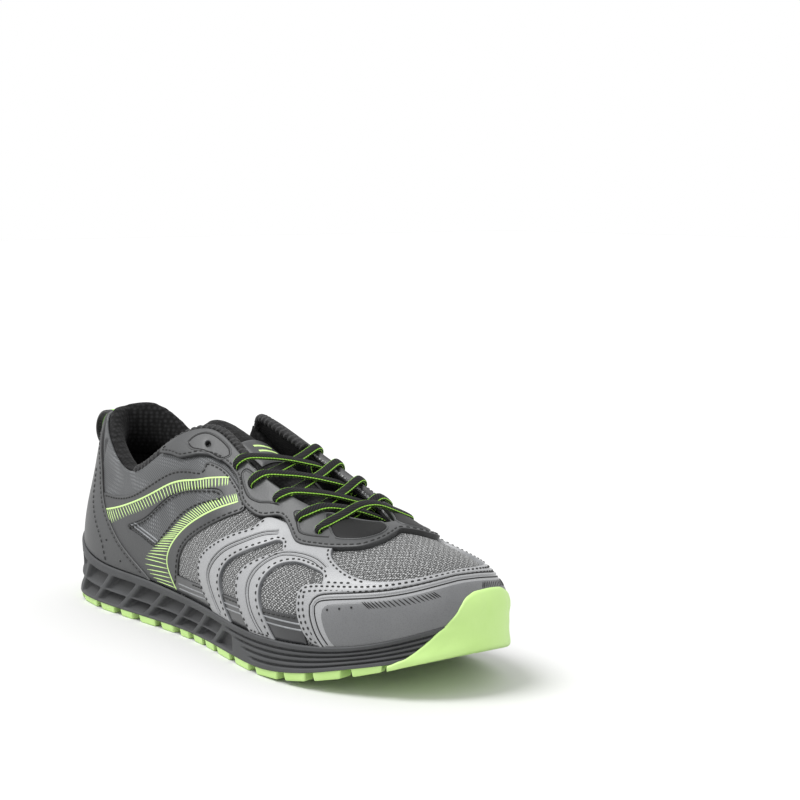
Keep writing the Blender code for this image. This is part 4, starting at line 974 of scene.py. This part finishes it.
# ---------------------------------------------------------------- outsole
# Lime rubber sheet with moulded lugs, glued under the midsole; at the toe the same rubber sweeps up over the
# midsole and the toe cap as a bumper.
# Carbon-free moulded rubber, pale lime: satin, with a fine mould grain and a little dust on the lugs.
lime_rubber, tree, shader = finish("pale_lime_moulded_rubber", 0.5)
place = add(tree, "ShaderNodeTexCoord")
grain = noise(tree, place.outputs["Object"], 900.0, 3.0)
cloud = noise(tree, place.outputs["Object"], 50.0, 4.0)
rubber_tone = mixed(tree, cloud.outputs["Fac"], linear("b3d87c"), linear("c4e493"))
coloured(tree, shader, rubber_tone)
bumped(tree, shader, 0.25, 0.0002, grain.outputs["Fac"])

LUGS = [(0.25, 1.05), (1.15, 1.95), (2.05, 2.82), (2.9, 3.36), (3.42, 3.9), (3.96, 4.4), (4.46, 4.92),
        (4.97, 5.36), (5.42, 5.76), (5.82, 6.16), (6.22, 6.74), (6.82, 7.46), (7.54, 8.34), (8.42, 8.97),
        (9.05, 9.72), (9.8, 10.47), (10.55, 11.3), (11.38, 12.0)]
LUG_DEPTH = 13.0


def lug_block(shape, plan, top):
    """One tread block over a four-cornered plan, from the ground up to the rubber sheet, tapering downwards."""
    high = [Vector(((x - MIDDLE[0]) * MM, (y - MIDDLE[1]) * MM, (float(ground(x)) + 0.02 + top) * MM))
            for x, y in plan]
    middle = sum(high, Vector()) / 4
    low = [middle.lerp(v, 0.9) for v in high]
    for v, (x, y) in zip(low, plan):
        v.z = (float(ground(v.x / MM + MIDDLE[0])) + 0.02) * MM
    corners = [shape.verts.new(v) for v in low + high]
    for ring in ((0, 1, 2, 3), (7, 6, 5, 4), (0, 4, 5, 1), (1, 5, 6, 2), (2, 6, 7, 3), (3, 7, 4, 0)):
        shape.faces.new([corners[i] for i in ring])


tread = bmesh.new()
for first, last in LUGS + [(24 - b, 24 - a) for a, b in LUGS]:
    # A slanting gap is left between neighbours, its slant turning from block to block.
    lean = 0.035 * math.sin(17.0 * first)
    s = np.array([first + 0.05 + lean, last - 0.05 - lean, last - 0.03 + lean, first + 0.03 - lean])
    reach = flare(s) + np.array([-0.1, -0.1, -LUG_DEPTH, -LUG_DEPTH])
    plan = (sheet(s, np.zeros(4)) + plan_outward(s) * reach[:, None])[:, :2]
    lug_block(tread, plan, 4.1)
for x in (34, 56, 78, 100, 122, 144, 166, 188, 210, 232, 254):
    for hand in (-1, 1):
        middle = float(-5.0 * ease(x, 120, 220) + 1.0 * ease(x, 240, 280))
        near, far = middle + hand * 4.0, middle + hand * 15.0
        lug_block(tread, [(x, near), (x + 13, near), (x + 9, far), (x - 4, far)], 4.4)
bmesh.ops.recalc_face_normals(tread, faces=tread.faces)
bmesh.ops.bevel(tread, geom=tread.edges[:] + tread.verts[:], offset=0.0009, segments=2, affect="EDGES",
                profile=0.6)
tread_mesh = bpy.data.meshes.new("tread_lugs")
tread.to_mesh(tread_mesh)
tread.free()
tread_mesh.materials.append(lime_rubber)
tread_lugs = bpy.data.objects.new("tread_lugs", tread_mesh)
bpy.context.scene.collection.objects.link(tread_lugs)
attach(tread_lugs, "shoe")
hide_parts("outsole")

plate_s = np.arange(0, 24, 0.25)
plate_edge = sheet(plate_s, np.zeros_like(plate_s)) + plan_outward(plate_s) * (flare(plate_s) - 6.5)[:, None]
levels = []
for rise, inset in ((0.0, 0.6), (0.4, 0.0), (2.2, 0.0), (2.6, 0.6)):
    ring = plate_edge - plan_outward(plate_s) * inset
    ring[:, 2] = plate_underside(ring[:, 0]) + rise
    levels.append(ring)
count = len(plate_s)
sheet_points = np.stack(levels, 1).reshape(-1, 3)
sheet_faces = grid_faces(count, 4, True)
for level in (0, 3):
    for i in range(count // 2):
        quad = [i * 4 + level, (i + 1) * 4 + level, (count - i - 1) % count * 4 + level,
                (count - i) % count * 4 + level]
        sheet_faces.append(tuple(dict.fromkeys(quad)))
sheet_faces = [face for face in sheet_faces if len(face) > 2]
piece("outsole_sheet", sheet_points, sheet_faces, lime_rubber)

TOP_OF_BUMPER = [(10.5, -1.2), (10.8, 0.6), (11.15, 5.0), (11.4, 9.0), (11.56, 12.0), (11.74, 15.0),
                 (11.86, 19.0), (11.98, 22.0), (12.2, 24.0), (12.7, 24.8), (13.1, 24.8), (13.4, 23.0),
                 (13.58, 20.0), (13.7, 16.0), (13.8, 13.0), (13.95, 10.5), (14.3, 5.5), (14.8, 0.6),
                 (15.1, -1.2)]
bumper_s = np.linspace(10.5, 15.1, 190)
top_table = np.array(TOP_OF_BUMPER)
bumper_top = np.interp(bumper_s, top_table[:, 0], top_table[:, 1])
bumper_top = np.convolve(np.pad(bumper_top, 4, "edge"), np.hanning(11)[1:-1] / np.hanning(11).sum(), "valid")


def bumper_profile(s):
    """Points up the front of the rubber at each station, from under the toe to well over the cap."""
    base = sheet(s, np.zeros_like(s)) + plan_outward(s) * (flare(s) + 0.5)[:, None]
    sole_in = base - plan_outward(s) * 9.0
    for ring in (base, sole_in):
        ring[:, 2] = ground(ring[:, 0]) + 0.03
    up = [sole_in, base] + [sidewall(s, np.full_like(s, h), 0.7) for h in (0.0, 0.3, 0.6, 0.85)]
    up += [off(s, np.full_like(s, t), 2.5 + 0.3 * min(1.0, t / 0.1)) for t in (0.05, 0.12, 0.18, 0.24, 0.30,
        0.36, 0.44)]
    return np.stack(up, 1)


profile = bumper_profile(bumper_s)
reach = np.concatenate([np.zeros((len(bumper_s), 1)),
                        np.cumsum(np.linalg.norm(np.diff(profile, axis=1), axis=2), 1)], 1)
reach = reach - reach[:, 2:3]
rows = 30
front = np.zeros((len(bumper_s), rows + 3, 3))
for i, s in enumerate(bumper_s):
    marks = np.linspace(reach[i, 0], bumper_top[i], rows)
    front[i, :rows] = np.stack([np.interp(marks, reach[i], profile[i, :, k]) for k in range(3)], -1)
for _ in range(3):
    front[:, 4:rows - 1] = (front[:, 3:rows - 2] + 2 * front[:, 4:rows - 1] + front[:, 5:rows]) / 4
push = unit(np.cross(np.gradient(front[:, :rows], axis=0), np.gradient(front[:, :rows], axis=1)))
# Soft folds run up the rubber, one bold crease either side of the middle.
for i, s in enumerate(bumper_s):
    fold = 0.3 * math.sin(7.0 * s) + 0.7 * float(band(s, 12.35, 12.5, 0.09)) + 0.6 * float(band(s, 13.2,
        13.32, 0.09))
    rise = np.linspace(0, 1, rows)
    front[i, :rows] -= push[i, :rows] * (0.5 * fold * ease(rise, 0.6, 0.75) * (1 - 0.5 * ease(rise, 0.85,
        1.0)))[:, None]
push = unit(np.cross(np.gradient(front[:, :rows], axis=0), np.gradient(front[:, :rows], axis=1)))
edge_push = push[:, rows - 1]
front[:, rows] = front[:, rows - 1] - edge_push * 0.5 + unit(front[:, rows - 1] - front[:, rows - 2]) * 0.45
front[:, rows + 1] = front[:, rows - 1] - edge_push * 1.1 + unit(front[:, rows - 1] - front[:,
    rows - 2]) * 0.6
front[:, rows + 2] = front[:, rows - 1] - edge_push * 3.2 + unit(front[:, rows - 1] - front[:,
    rows - 2]) * 0.5
piece("toe_bumper", front.reshape(-1, 3), grid_faces(len(bumper_s), rows + 3), lime_rubber)

# ---------------------------------------------------------------- linings and hidden stiffeners
# Black brushed-knit linings inside the forefoot and quarters; between lining and skin a moulded counter at the
# heel, a puff at the toe, and the strobel board that closes the upper underneath.
# Brushed polyester knit: matt black, honeycomb cells 2.2 mm across, soft sheen on the raised threads.
def black_knit(name, cell, dark, pale):
    made, tree, shader = finish(name, 0.9, Specular_IOR_Level=0.25, Sheen_Weight=0.05, Sheen_Roughness=0.4)
    place = add(tree, "ShaderNodeTexCoord")
    cells = add(tree, "ShaderNodeTexVoronoi", {"Vector": place.outputs["Object"], "Scale": 1000 / cell,
                                               "Randomness": 0.25})
    fuzz = noise(tree, place.outputs["Object"], 1500.0, 2.0)
    both_heights = arithmetic(tree, "MULTIPLY_ADD", cells.outputs["Distance"], fuzz.outputs["Fac"])
    both_heights.inputs[2].default_value = 0.1
    lit = ramp(tree, cells.outputs["Distance"], 0.1, 0.6, 1.0, 0.0)
    tone = mixed(tree, lit.outputs[0], linear(dark), linear(pale))
    coloured(tree, shader, tone)
    bumped(tree, shader, 0.9, 0.0005, both_heights.outputs[0], invert=True)
    return made


lining_knit = black_knit("black_brushed_lining_knit", 1.6, "070707", "1d1d1e")
collar_knit = black_knit("black_honeycomb_collar_knit", 2.2, "060606", "262627")

vamp_lining = cloth_skin("forefoot_lining", 5.1, 18.9, -0.04, 1.0, -1.3, -2.1, lining_knit)
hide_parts("vamp_lining")
quarter_lining = cloth_skin("heel_lining", -5.3, 5.3, -0.04, 0.66, -3.5, -4.2, lining_knit)
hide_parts("quarter_lining")

# Impregnated fibre board: charcoal, rough, with short flecks.
fibre_board, tree, shader = finish("charcoal_fibre_board", 0.85)
place = add(tree, "ShaderNodeTexCoord")
flecks = add(tree, "ShaderNodeTexNoise", {"Vector": place.outputs["Object"], "Scale": 260.0, "Detail": 6.0,
                                          "Roughness": 0.7})
board_tone = mixed(tree, flecks.outputs["Fac"], linear("1c1b1a"), linear("3a3836"))
coloured(tree, shader, board_tone)
bumped(tree, shader, 0.4, 0.0002, flecks.outputs["Fac"])
for hidden in ("toe_puff", "heel_counter", "strobel_board"):
    for place_in_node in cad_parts[hidden].material_slots:
        place_in_node.material = fibre_board

# ---------------------------------------------------------------- padded collar
# A foam roll covered in honeycomb knit, sewn in along the topline from one eyestay round the heel to the other:
# a soft rim that swells inwards and thins out at its lower seam.
def plumped(shell, voxel, pressure, most):
    """Swells a sewn shell by cloth simulation, no point by more than most metres, then smooths it."""
    scene = bpy.context.scene
    even = shell.modifiers.new("even_net", "REMESH")
    even.mode = "VOXEL"
    even.voxel_size = voxel
    bpy.context.view_layer.update()
    rested = bpy.data.meshes.new_from_object(shell.evaluated_get(bpy.context.evaluated_depsgraph_get()))
    shell.modifiers.clear()
    shell.data = rested
    before = np.zeros(len(rested.vertices) * 3)
    rested.vertices.foreach_get("co", before)
    cloth = shell.modifiers.new("cover", "CLOTH")
    cloth.settings.use_pressure = True
    cloth.settings.uniform_pressure_force = pressure
    cloth.settings.effector_weights.gravity = 0.0
    cloth.settings.quality = 4
    for frame_number in range(1, 21):
        scene.frame_set(frame_number)
    swollen = bpy.data.meshes.new_from_object(shell.evaluated_get(bpy.context.evaluated_depsgraph_get()))
    after = np.zeros(len(rested.vertices) * 3)
    swollen.vertices.foreach_get("co", after)
    shell.modifiers.clear()
    move = (after - before).reshape(-1, 3)
    size = np.linalg.norm(move, axis=1, keepdims=True)
    move *= np.minimum(1.0, most / np.maximum(size, 1e-9))
    rested.vertices.foreach_set("co", (before.reshape(-1, 3) + move).ravel())
    rested.update()
    bpy.data.meshes.remove(swollen)
    scene.frame_set(1)
    smooth = shell.modifiers.new("smooth", "SUBSURF")
    smooth.levels = smooth.render_levels = 1
    bpy.context.view_layer.update()
    final = bpy.data.meshes.new_from_object(shell.evaluated_get(bpy.context.evaluated_depsgraph_get()))
    shell.modifiers.clear()
    shell.data = final
    final.shade_smooth()
    return shell


COLLAR_SECTION = [(0.62, -2.6), (0.72, -2.2), (0.85, -2.0), (0.95, -1.6), (1.0, -1.3), (1.035, -2.4),
                  (1.05, -4.6), (1.035, -7.2), (0.98, -9.6), (0.89, -11.2), (0.80, -11.2), (0.71, -9.0),
                  (0.64, -5.8)]
collar_s = np.linspace(-5.25, 5.25, 110)
section = np.array(COLLAR_SECTION)
slim = 1 - 0.5 * ease(np.abs(collar_s), 4.2, 5.25)
S, K = np.meshgrid(collar_s, np.arange(len(section)), indexing="ij")
collar_points = off(S, section[K, 0], -1.3 + (section[K, 1] + 1.3) * slim[:, None])
collar_faces = grid_faces(len(collar_s), len(section)) + [(c * len(section), (c + 1) * len(section),
                                                           (c + 2) * len(section) - 1,
                                                           (c + 1) * len(section) - 1)
                                                          for c in range(len(collar_s) - 1)]
last = (len(collar_s) - 1) * len(section)
collar_faces += [tuple(range(len(section))), tuple(range(last, last + len(section)))]
padded_collar = plumped(piece("padded_collar", collar_points.reshape(-1, 3), collar_faces, collar_knit,
                              body=None), 0.0022, 3.0, 0.0012)
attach(padded_collar, "shoe")
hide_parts("collar_padding")

# ---------------------------------------------------------------- knitted piping on the topline
# A plump knitted cord sewn along the topline in front of the collar and over the top of the eyestay.
# Twisted knitted polyester cord: black, with paler glints on the crests of its plies.
cord_knit, tree, shader = finish("black_knitted_cord", 0.8, Sheen_Weight=0.1)
place = add(tree, "ShaderNodeTexCoord")
ply = add(tree, "ShaderNodeTexVoronoi", {"Vector": place.outputs["Object"], "Scale": 800.0,
                                         "Randomness": 0.7})
ply_tone = mixed(tree, ply.outputs["Distance"], linear("303031"), linear("040404"))
coloured(tree, shader, ply_tone)
bumped(tree, shader, 0.8, 0.0004, ply.outputs["Distance"], invert=True)


def swept(name, path, sides, radii, look, across=None, uv_across=0.0, body="shoe"):
    """Tube or flat strap along a path; radii(length, angle) gives its half sizes along and across its sides."""
    run = unit(np.gradient(path, axis=0))
    reach = np.concatenate([[0], np.cumsum(np.linalg.norm(np.diff(path, axis=0), axis=1))])
    side = unit(across - run * (across * run).sum(1, keepdims=True))
    top = np.cross(run, side)
    angle = np.linspace(0, 2 * math.pi, sides, endpoint=False)
    wide, thick = radii(reach[:, None], angle[None, :])
    points = path[:, None] + side[:, None] * (wide * np.cos(angle))[..., None] + top[:,
        None] * (thick * np.sin(angle))[..., None]
    faces = [(c * sides + r, (c + 1) * sides + r, (c + 1) * sides + (r + 1) % sides,
              c * sides + (r + 1) % sides) for c in range(len(path) - 1) for r in range(sides)]
    faces += [tuple(range(sides)), tuple(range((len(path) - 1) * sides, len(path) * sides))]
    uvs = np.stack(np.broadcast_arrays(reach[:, None], uv_across * np.cos(angle)[None, :]), -1).reshape(-1, 2)
    return piece(name, points.reshape(-1, 3), faces, look, uvs, body=body)


def twisted(reach, angle):
    radius = 2.1 * (1 + 0.2 * np.sin(2 * angle + reach * 1.9)) * (1 - 0.5 * (1 - ease(reach, 0, 4)))
    return radius, radius


for side_name, first, final in (("lateral", 3.7, 7.05), ("medial", 20.3, 16.95)):
    s = np.linspace(first, final, 190)
    rise = np.full_like(s, 1.0)
    path = off(s, rise, -0.9) + unit(steps(s, rise)[1]) * 0.5
    swept(side_name + "_topline_piping", path, 14, twisted, cord_knit,
                         across=outward(s, rise))
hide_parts("topline_binding")

# ---------------------------------------------------------------- tongue and its label
# A padded knit tongue under the lace; its free top stands up in front of the ankle and folds forward. A small
# coated patch with two plain lime bars is sewn to it below the topline.
RIDGE = [(94, 101), (100, 102.5), (112, 100), (124, 95.5), (150, 85), (178, 74), (204, 65.5), (222, 60),
         (238, 55.5)]
HALF_WIDTH = [(94, 11), (100, 14.5), (112, 17), (124, 19), (150, 22), (178, 22), (204, 19), (222, 15),
              (238, 10)]
DROP = [(94, 7), (112, 10), (124, 12), (178, 12), (204, 10), (238, 4)]


def eased_table(table, x):
    """Table read with its corners rounded off."""
    near = np.array(table, float)
    return sum(np.interp(x + k, near[:, 0], near[:, 1]) for k in (-6, -3, 0, 3, 6)) / 5


def tongue_surface(x, across, depth):
    x, across, depth = np.broadcast_arrays(np.asarray(x, float), across, depth)
    z = eased_table(RIDGE, x) - eased_table(DROP, x) * across ** 2 - depth
    return np.stack([x - depth * 0.35, eased_table(HALF_WIDTH, x) * across, z], -1)


tongue_x = np.linspace(97, 238, 80)
angle = np.linspace(0, 2 * math.pi, 28, endpoint=False)
thickness = 2.3 + 0.9 * (1 - ease(tongue_x, 100, 118))
X, A = np.meshgrid(tongue_x, angle, indexing="ij")
flat_across = np.sign(np.cos(A)) * np.abs(np.cos(A)) ** 0.7
pad = tongue_surface(X, flat_across, 2.9 - np.sin(A) * thickness[:, None] * (1 - 0.25 * np.abs(flat_across)))
tongue_faces = [(c * 28 + r, (c + 1) * 28 + r, (c + 1) * 28 + (r + 1) % 28, c * 28 + (r + 1) % 28)
                for c in range(79) for r in range(28)]
tongue_faces += [tuple(range(28)), tuple(range(79 * 28, 80 * 28))]
tongue_pad = plumped(piece("tongue_pad", pad.reshape(-1, 3), tongue_faces, collar_knit, body=None), 0.0024,
                     3.0, 0.0009)


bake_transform(tongue_pad)
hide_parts("tongue_lower", "tongue_top")

U, V = np.meshgrid(np.linspace(0, 1, 26), np.linspace(-1, 1, 26), indexing="ij")
label_rise = 0.9 * (1 - np.maximum(np.abs(V), np.abs(2 * U - 1)) ** 12)
label_points = tongue_surface(129 + 21 * U, 0.10 + 0.46 * V, -0.3 - label_rise)
tongue_patch = piece("tongue_patch", label_points.reshape(-1, 3), grid_faces(26, 26), dark_microfibre)
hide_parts("tongue_label")
for number, (low, high) in enumerate(((0.30, 0.40), (0.52, 0.62))):
    U, V = np.meshgrid(np.linspace(low, high, 5), np.linspace(-0.5, 0.5, 14), indexing="ij")
    bar = tongue_surface(129 + 21 * U + 2 * V, 0.10 + 0.46 * V,
                         np.where((U > low + 0.01) & (U < high - 0.01), -1.35, -1.0))
    piece("tongue_patch_bar_%d" % number, bar.reshape(-1, 3), grid_faces(5, 14), lime_ink)

# ---------------------------------------------------------------- lace
# One flat-oval braided polyester lace, near black with a lime thread along both edges, laced criss-cross through
# five pairs of eyelets with its ends tucked inside.
lace_braid, tree, shader = finish("black_braided_lace_with_lime_edges", 0.8, Specular_IOR_Level=0.2,
                                  Sheen_Weight=0.03)
cloth = add(tree, "ShaderNodeUVMap", uv_map="cloth")
parts = add(tree, "ShaderNodeSeparateXYZ", {"Vector": cloth.outputs[0]})
from_middle = add(tree, "ShaderNodeMath", {0: parts.outputs["Y"]}, operation="ABSOLUTE")
edge_line = ramp(tree, from_middle.outputs[0], 1.98, 2.08)
outer_line = ramp(tree, from_middle.outputs[0], 2.32, 2.4, 1.0, 0.0)
line_part = arithmetic(tree, "MULTIPLY", edge_line.outputs[0], outer_line.outputs[0])
# Braid picks 1.4 mm long, slanting both ways.
first_lay = add(tree, "ShaderNodeMapping", {"Vector": cloth.outputs[0], "Rotation": (0, 0, 0.7),
                                            "Scale": (0.45, 0.45, 1)})
picks = add(tree, "ShaderNodeTexWave", {"Vector": first_lay.outputs[0], "Scale": 0.6, "Distortion": 1.5})
black_part = mixed(tree, picks.outputs["Fac"], linear("060606"), linear("1c1c1d"))
lime_part = mixed(tree, picks.outputs["Fac"], linear("7db934"), linear("a8dd5c"))
lace_colour = mixed(tree, line_part.outputs[0], black_part.outputs["Result"], lime_part.outputs["Result"])
coloured(tree, shader, lace_colour)
bumped(tree, shader, 0.7, 0.0003, picks.outputs["Fac"])

OVER, UNDER = 3.9, -3.9
ROWS = list(zip(EYELETS[1:], mirrored(EYELETS)[::-1][1:]))
UP = np.array([0, 0, 1.0])


def hole_steps(eyelet):
    """Down through an eyelet, from above the eyestay to below the lining."""
    return [off(np.array(eyelet[0]), np.array(eyelet[1]), d) for d in (OVER, 0.4, UNDER)]


def at_throat_edge(start, end, side, depth):
    """Where the straight line from start to end passes one edge of the throat."""
    stations = np.linspace(6.2, 10.2, 300)
    stations = stations if side == 0 else 24 - stations
    edge = sheet(stations, np.full(300, 0.985))[:, :2] - start[:2]
    line = (end - start)[:2]
    nearest = stations[np.argmin(np.abs(edge[:, 0] * line[1] - edge[:, 1] * line[0]))]
    return off(np.array(nearest), np.array(0.99), depth)


def over_tongue(a, b, lift):
    return [a, a * 0.72 + b * 0.28 + UP * lift * 0.8, (a + b) / 2 + UP * lift,
            a * 0.28 + b * 0.72 + UP * lift * 0.8, b]


def strand(side):
    """Half of the lace: down through the bottom eyelet, up the rows from side to side, tucked in at the top."""
    marks = hole_steps(ROWS[4][side])
    for row in (3, 2, 1, 0):
        eyelet = ROWS[row][1 - side]
        landing = hole_steps(eyelet)
        leave = at_throat_edge(marks[-1], landing[0], side, -3.4)
        land = at_throat_edge(marks[-1], landing[0], 1 - side, OVER)
        marks += over_tongue(leave, land, -0.7 if side == 0 else 1.9) + landing
        side = 1 - side
    return marks + [off(np.array(ROWS[0][side][0] + (0.25 if side else -0.25)), np.array(0.8), -7.45)]


bottom_left, bottom_right = hole_steps(ROWS[4][0])[0], hole_steps(ROWS[4][1])[0]
bar = over_tongue(at_throat_edge(bottom_left, bottom_right, 0, OVER),
                  at_throat_edge(bottom_left, bottom_right, 1, OVER), 3.4)
marks = strand(0)[::-1] + bar + strand(1)
marks = np.array([m for i, m in enumerate(marks) if i == 0 or np.linalg.norm(m - marks[i - 1]) > 0.8])
padded_marks = np.concatenate([2 * marks[:1] - marks[1:2], marks, 2 * marks[-1:] - marks[-2:-1]])
route = []
for a, b, c, d in zip(padded_marks, padded_marks[1:], padded_marks[2:], padded_marks[3:]):
    u = np.linspace(0, 1, max(2, int(np.linalg.norm(c - b) / 0.9)), endpoint=False)[:, None]
    route.append(0.5 * (2 * b + (c - a) * u + (2 * a - 5 * b + 4 * c - d) * u ** 2 + (3 * b - a - 3 * c + d)
                        * u ** 3))
route = np.concatenate(route + [marks[-1:]])
for _ in range(4):
    route[1:-1] = (route[:-2] + 2 * route[1:-1] + route[2:]) / 4
throat_run = np.broadcast_to(np.array([0.92, 0.0, -0.38]), route.shape)


eyelet_places = np.array([off(np.array(s), np.array(t), 0.4) for pair in ROWS for s, t in pair])
pinch = np.array([np.linalg.norm(eyelet_places - p, axis=1).min() for p in route])
half_width = (1.5 + 1.1 * ease(pinch, 1.5, 6.5))[:, None]


def flat_oval(reach, angle):
    """Braid bunched up where it passes an eyelet, flat elsewhere, with full rounded edges."""
    return half_width + 0 * angle, (1.15 - 0.05 * half_width) * np.maximum(np.abs(np.sin(angle)), 0.5) ** -0.3


lace = swept("lace_braid", route, 16, flat_oval, lace_braid, across=throat_run, uv_across=2.5)
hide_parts("lace")
# Clear acetate crimped over the braid's ends: smooth, glossy, slightly smoky.
acetate, tree, shader = finish("smoky_acetate_tip", 0.2, Coat_Weight=0.4)
place = add(tree, "ShaderNodeTexCoord")
smoke = add(tree, "ShaderNodeTexNoise", {"Vector": place.outputs["Object"], "Scale": 300.0})
acetate_tone = mixed(tree, smoke.outputs["Fac"], linear("141414"), linear("303030"))
coloured(tree, shader, acetate_tone)
for tip in ("aglet_first", "aglet_second"):
    for place_in_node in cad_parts[tip].material_slots:
        place_in_node.material = acetate

# ---------------------------------------------------------------- pull loop
# A loop of ribbed webbing at the back of the collar, black with a lime stripe woven along its middle, both ends
# sewn under the top of the heel panel, where they stay put when the loop swings.
webbing, tree, shader = finish("black_webbing_with_lime_stripe", 0.8, Sheen_Weight=0.2)
cloth = add(tree, "ShaderNodeUVMap", uv_map="cloth")
parts = add(tree, "ShaderNodeSeparateXYZ", {"Vector": cloth.outputs[0]})
from_middle = add(tree, "ShaderNodeMath", {0: parts.outputs["Y"]}, operation="ABSOLUTE")
stripe = ramp(tree, from_middle.outputs[0], 1.5, 1.9, 1.0, 0.0)
# Weft ribs 1.1 mm apart across the strap.
rib_scale = add(tree, "ShaderNodeMapping", {"Vector": cloth.outputs[0], "Scale": (0.29, 0.02, 1)})
ribs = add(tree, "ShaderNodeTexWave", {"Vector": rib_scale.outputs[0], "Scale": 1.0, "Distortion": 0.4},
           bands_direction="X")
dark_part = mixed(tree, ribs.outputs["Fac"], linear("060606"), linear("202021"))
lime_part = mixed(tree, ribs.outputs["Fac"], linear("5fae10"), linear("a6f040"))
webbing_colour = mixed(tree, stripe.outputs[0], dark_part.outputs["Result"], lime_part.outputs["Result"])
coloured(tree, shader, webbing_colour)
bumped(tree, shader, 0.8, 0.0003, ribs.outputs["Fac"])
LOOP = np.array([(9.5, 95.0), (6.0, 96.6), (2.5, 96.6), (-1.5, 95.0), (-4.8, 91.8), (-6.4, 87.6),
                 (-6.0, 83.4), (-3.8, 79.8), (0.5, 77.4), (4.5, 76.6)])
u = np.linspace(0, 1, 90)
way = np.linspace(0, 1, len(LOOP))
smooth_loop = np.stack([np.interp(u, way, LOOP[:, 0]), np.zeros(90), np.interp(u, way, LOOP[:, 1])], -1)
for _ in range(30):
    smooth_loop[1:-1] = (smooth_loop[:-2] + 2 * smooth_loop[1:-1] + smooth_loop[2:]) / 4


def strap_section(reach, angle):
    return 5.0 + 0 * reach + 0 * angle, 0.8 / np.maximum(np.abs(np.sin(angle)), 0.35) * np.minimum(1,
        np.abs(np.sin(angle)) * 3 + 0.3) + 0 * reach


loop_strap = swept("loop_strap", smooth_loop, 20, strap_section, webbing, across=np.tile([0.0, 1.0, 0.0],
    (90, 1)), uv_across=5.0, body=None)
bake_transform(loop_strap)
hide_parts("pull_loop")

# ---------------------------------------------------------------- sockliner
# A cut foam insole covered in black cloth; it lies loose on the strobel board and lifts out from the heel.
liner_s = np.arange(0, 24, 0.25)
liner_rings = []
for lift, inset in ((2.4, 6.4), (2.2, 5.4), (3.8, 4.5), (6.3, 4.7), (7.0, 6.0)):
    edge_line = sheet(liner_s, np.full_like(liner_s, -0.25)) - plan_outward(liner_s) * (inset + 2.5
        * (1 - ease(side_station(liner_s), 0.5, 2.5)))[:, None]
    liner_rings.append(edge_line + [0, 0, lift])
liner_points = np.stack(liner_rings, 1).reshape(-1, 3)
liner_faces = grid_faces(len(liner_s), 5, True)
for level in (0, 4):
    for i in range(len(liner_s) // 2):
        quad = [i * 5 + level, (i + 1) * 5 + level, (96 - i - 1) % 96 * 5 + level, (96 - i) % 96 * 5 + level]
        liner_faces.append(tuple(dict.fromkeys(quad)))
liner_faces = [face for face in liner_faces if len(face) > 2]
insole_pad = plumped(piece("insole_pad", liner_points, liner_faces, lining_knit, body=None), 0.004, 2.0,
                     0.0008)
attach(insole_pad, "sockliner")
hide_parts("sockliner")
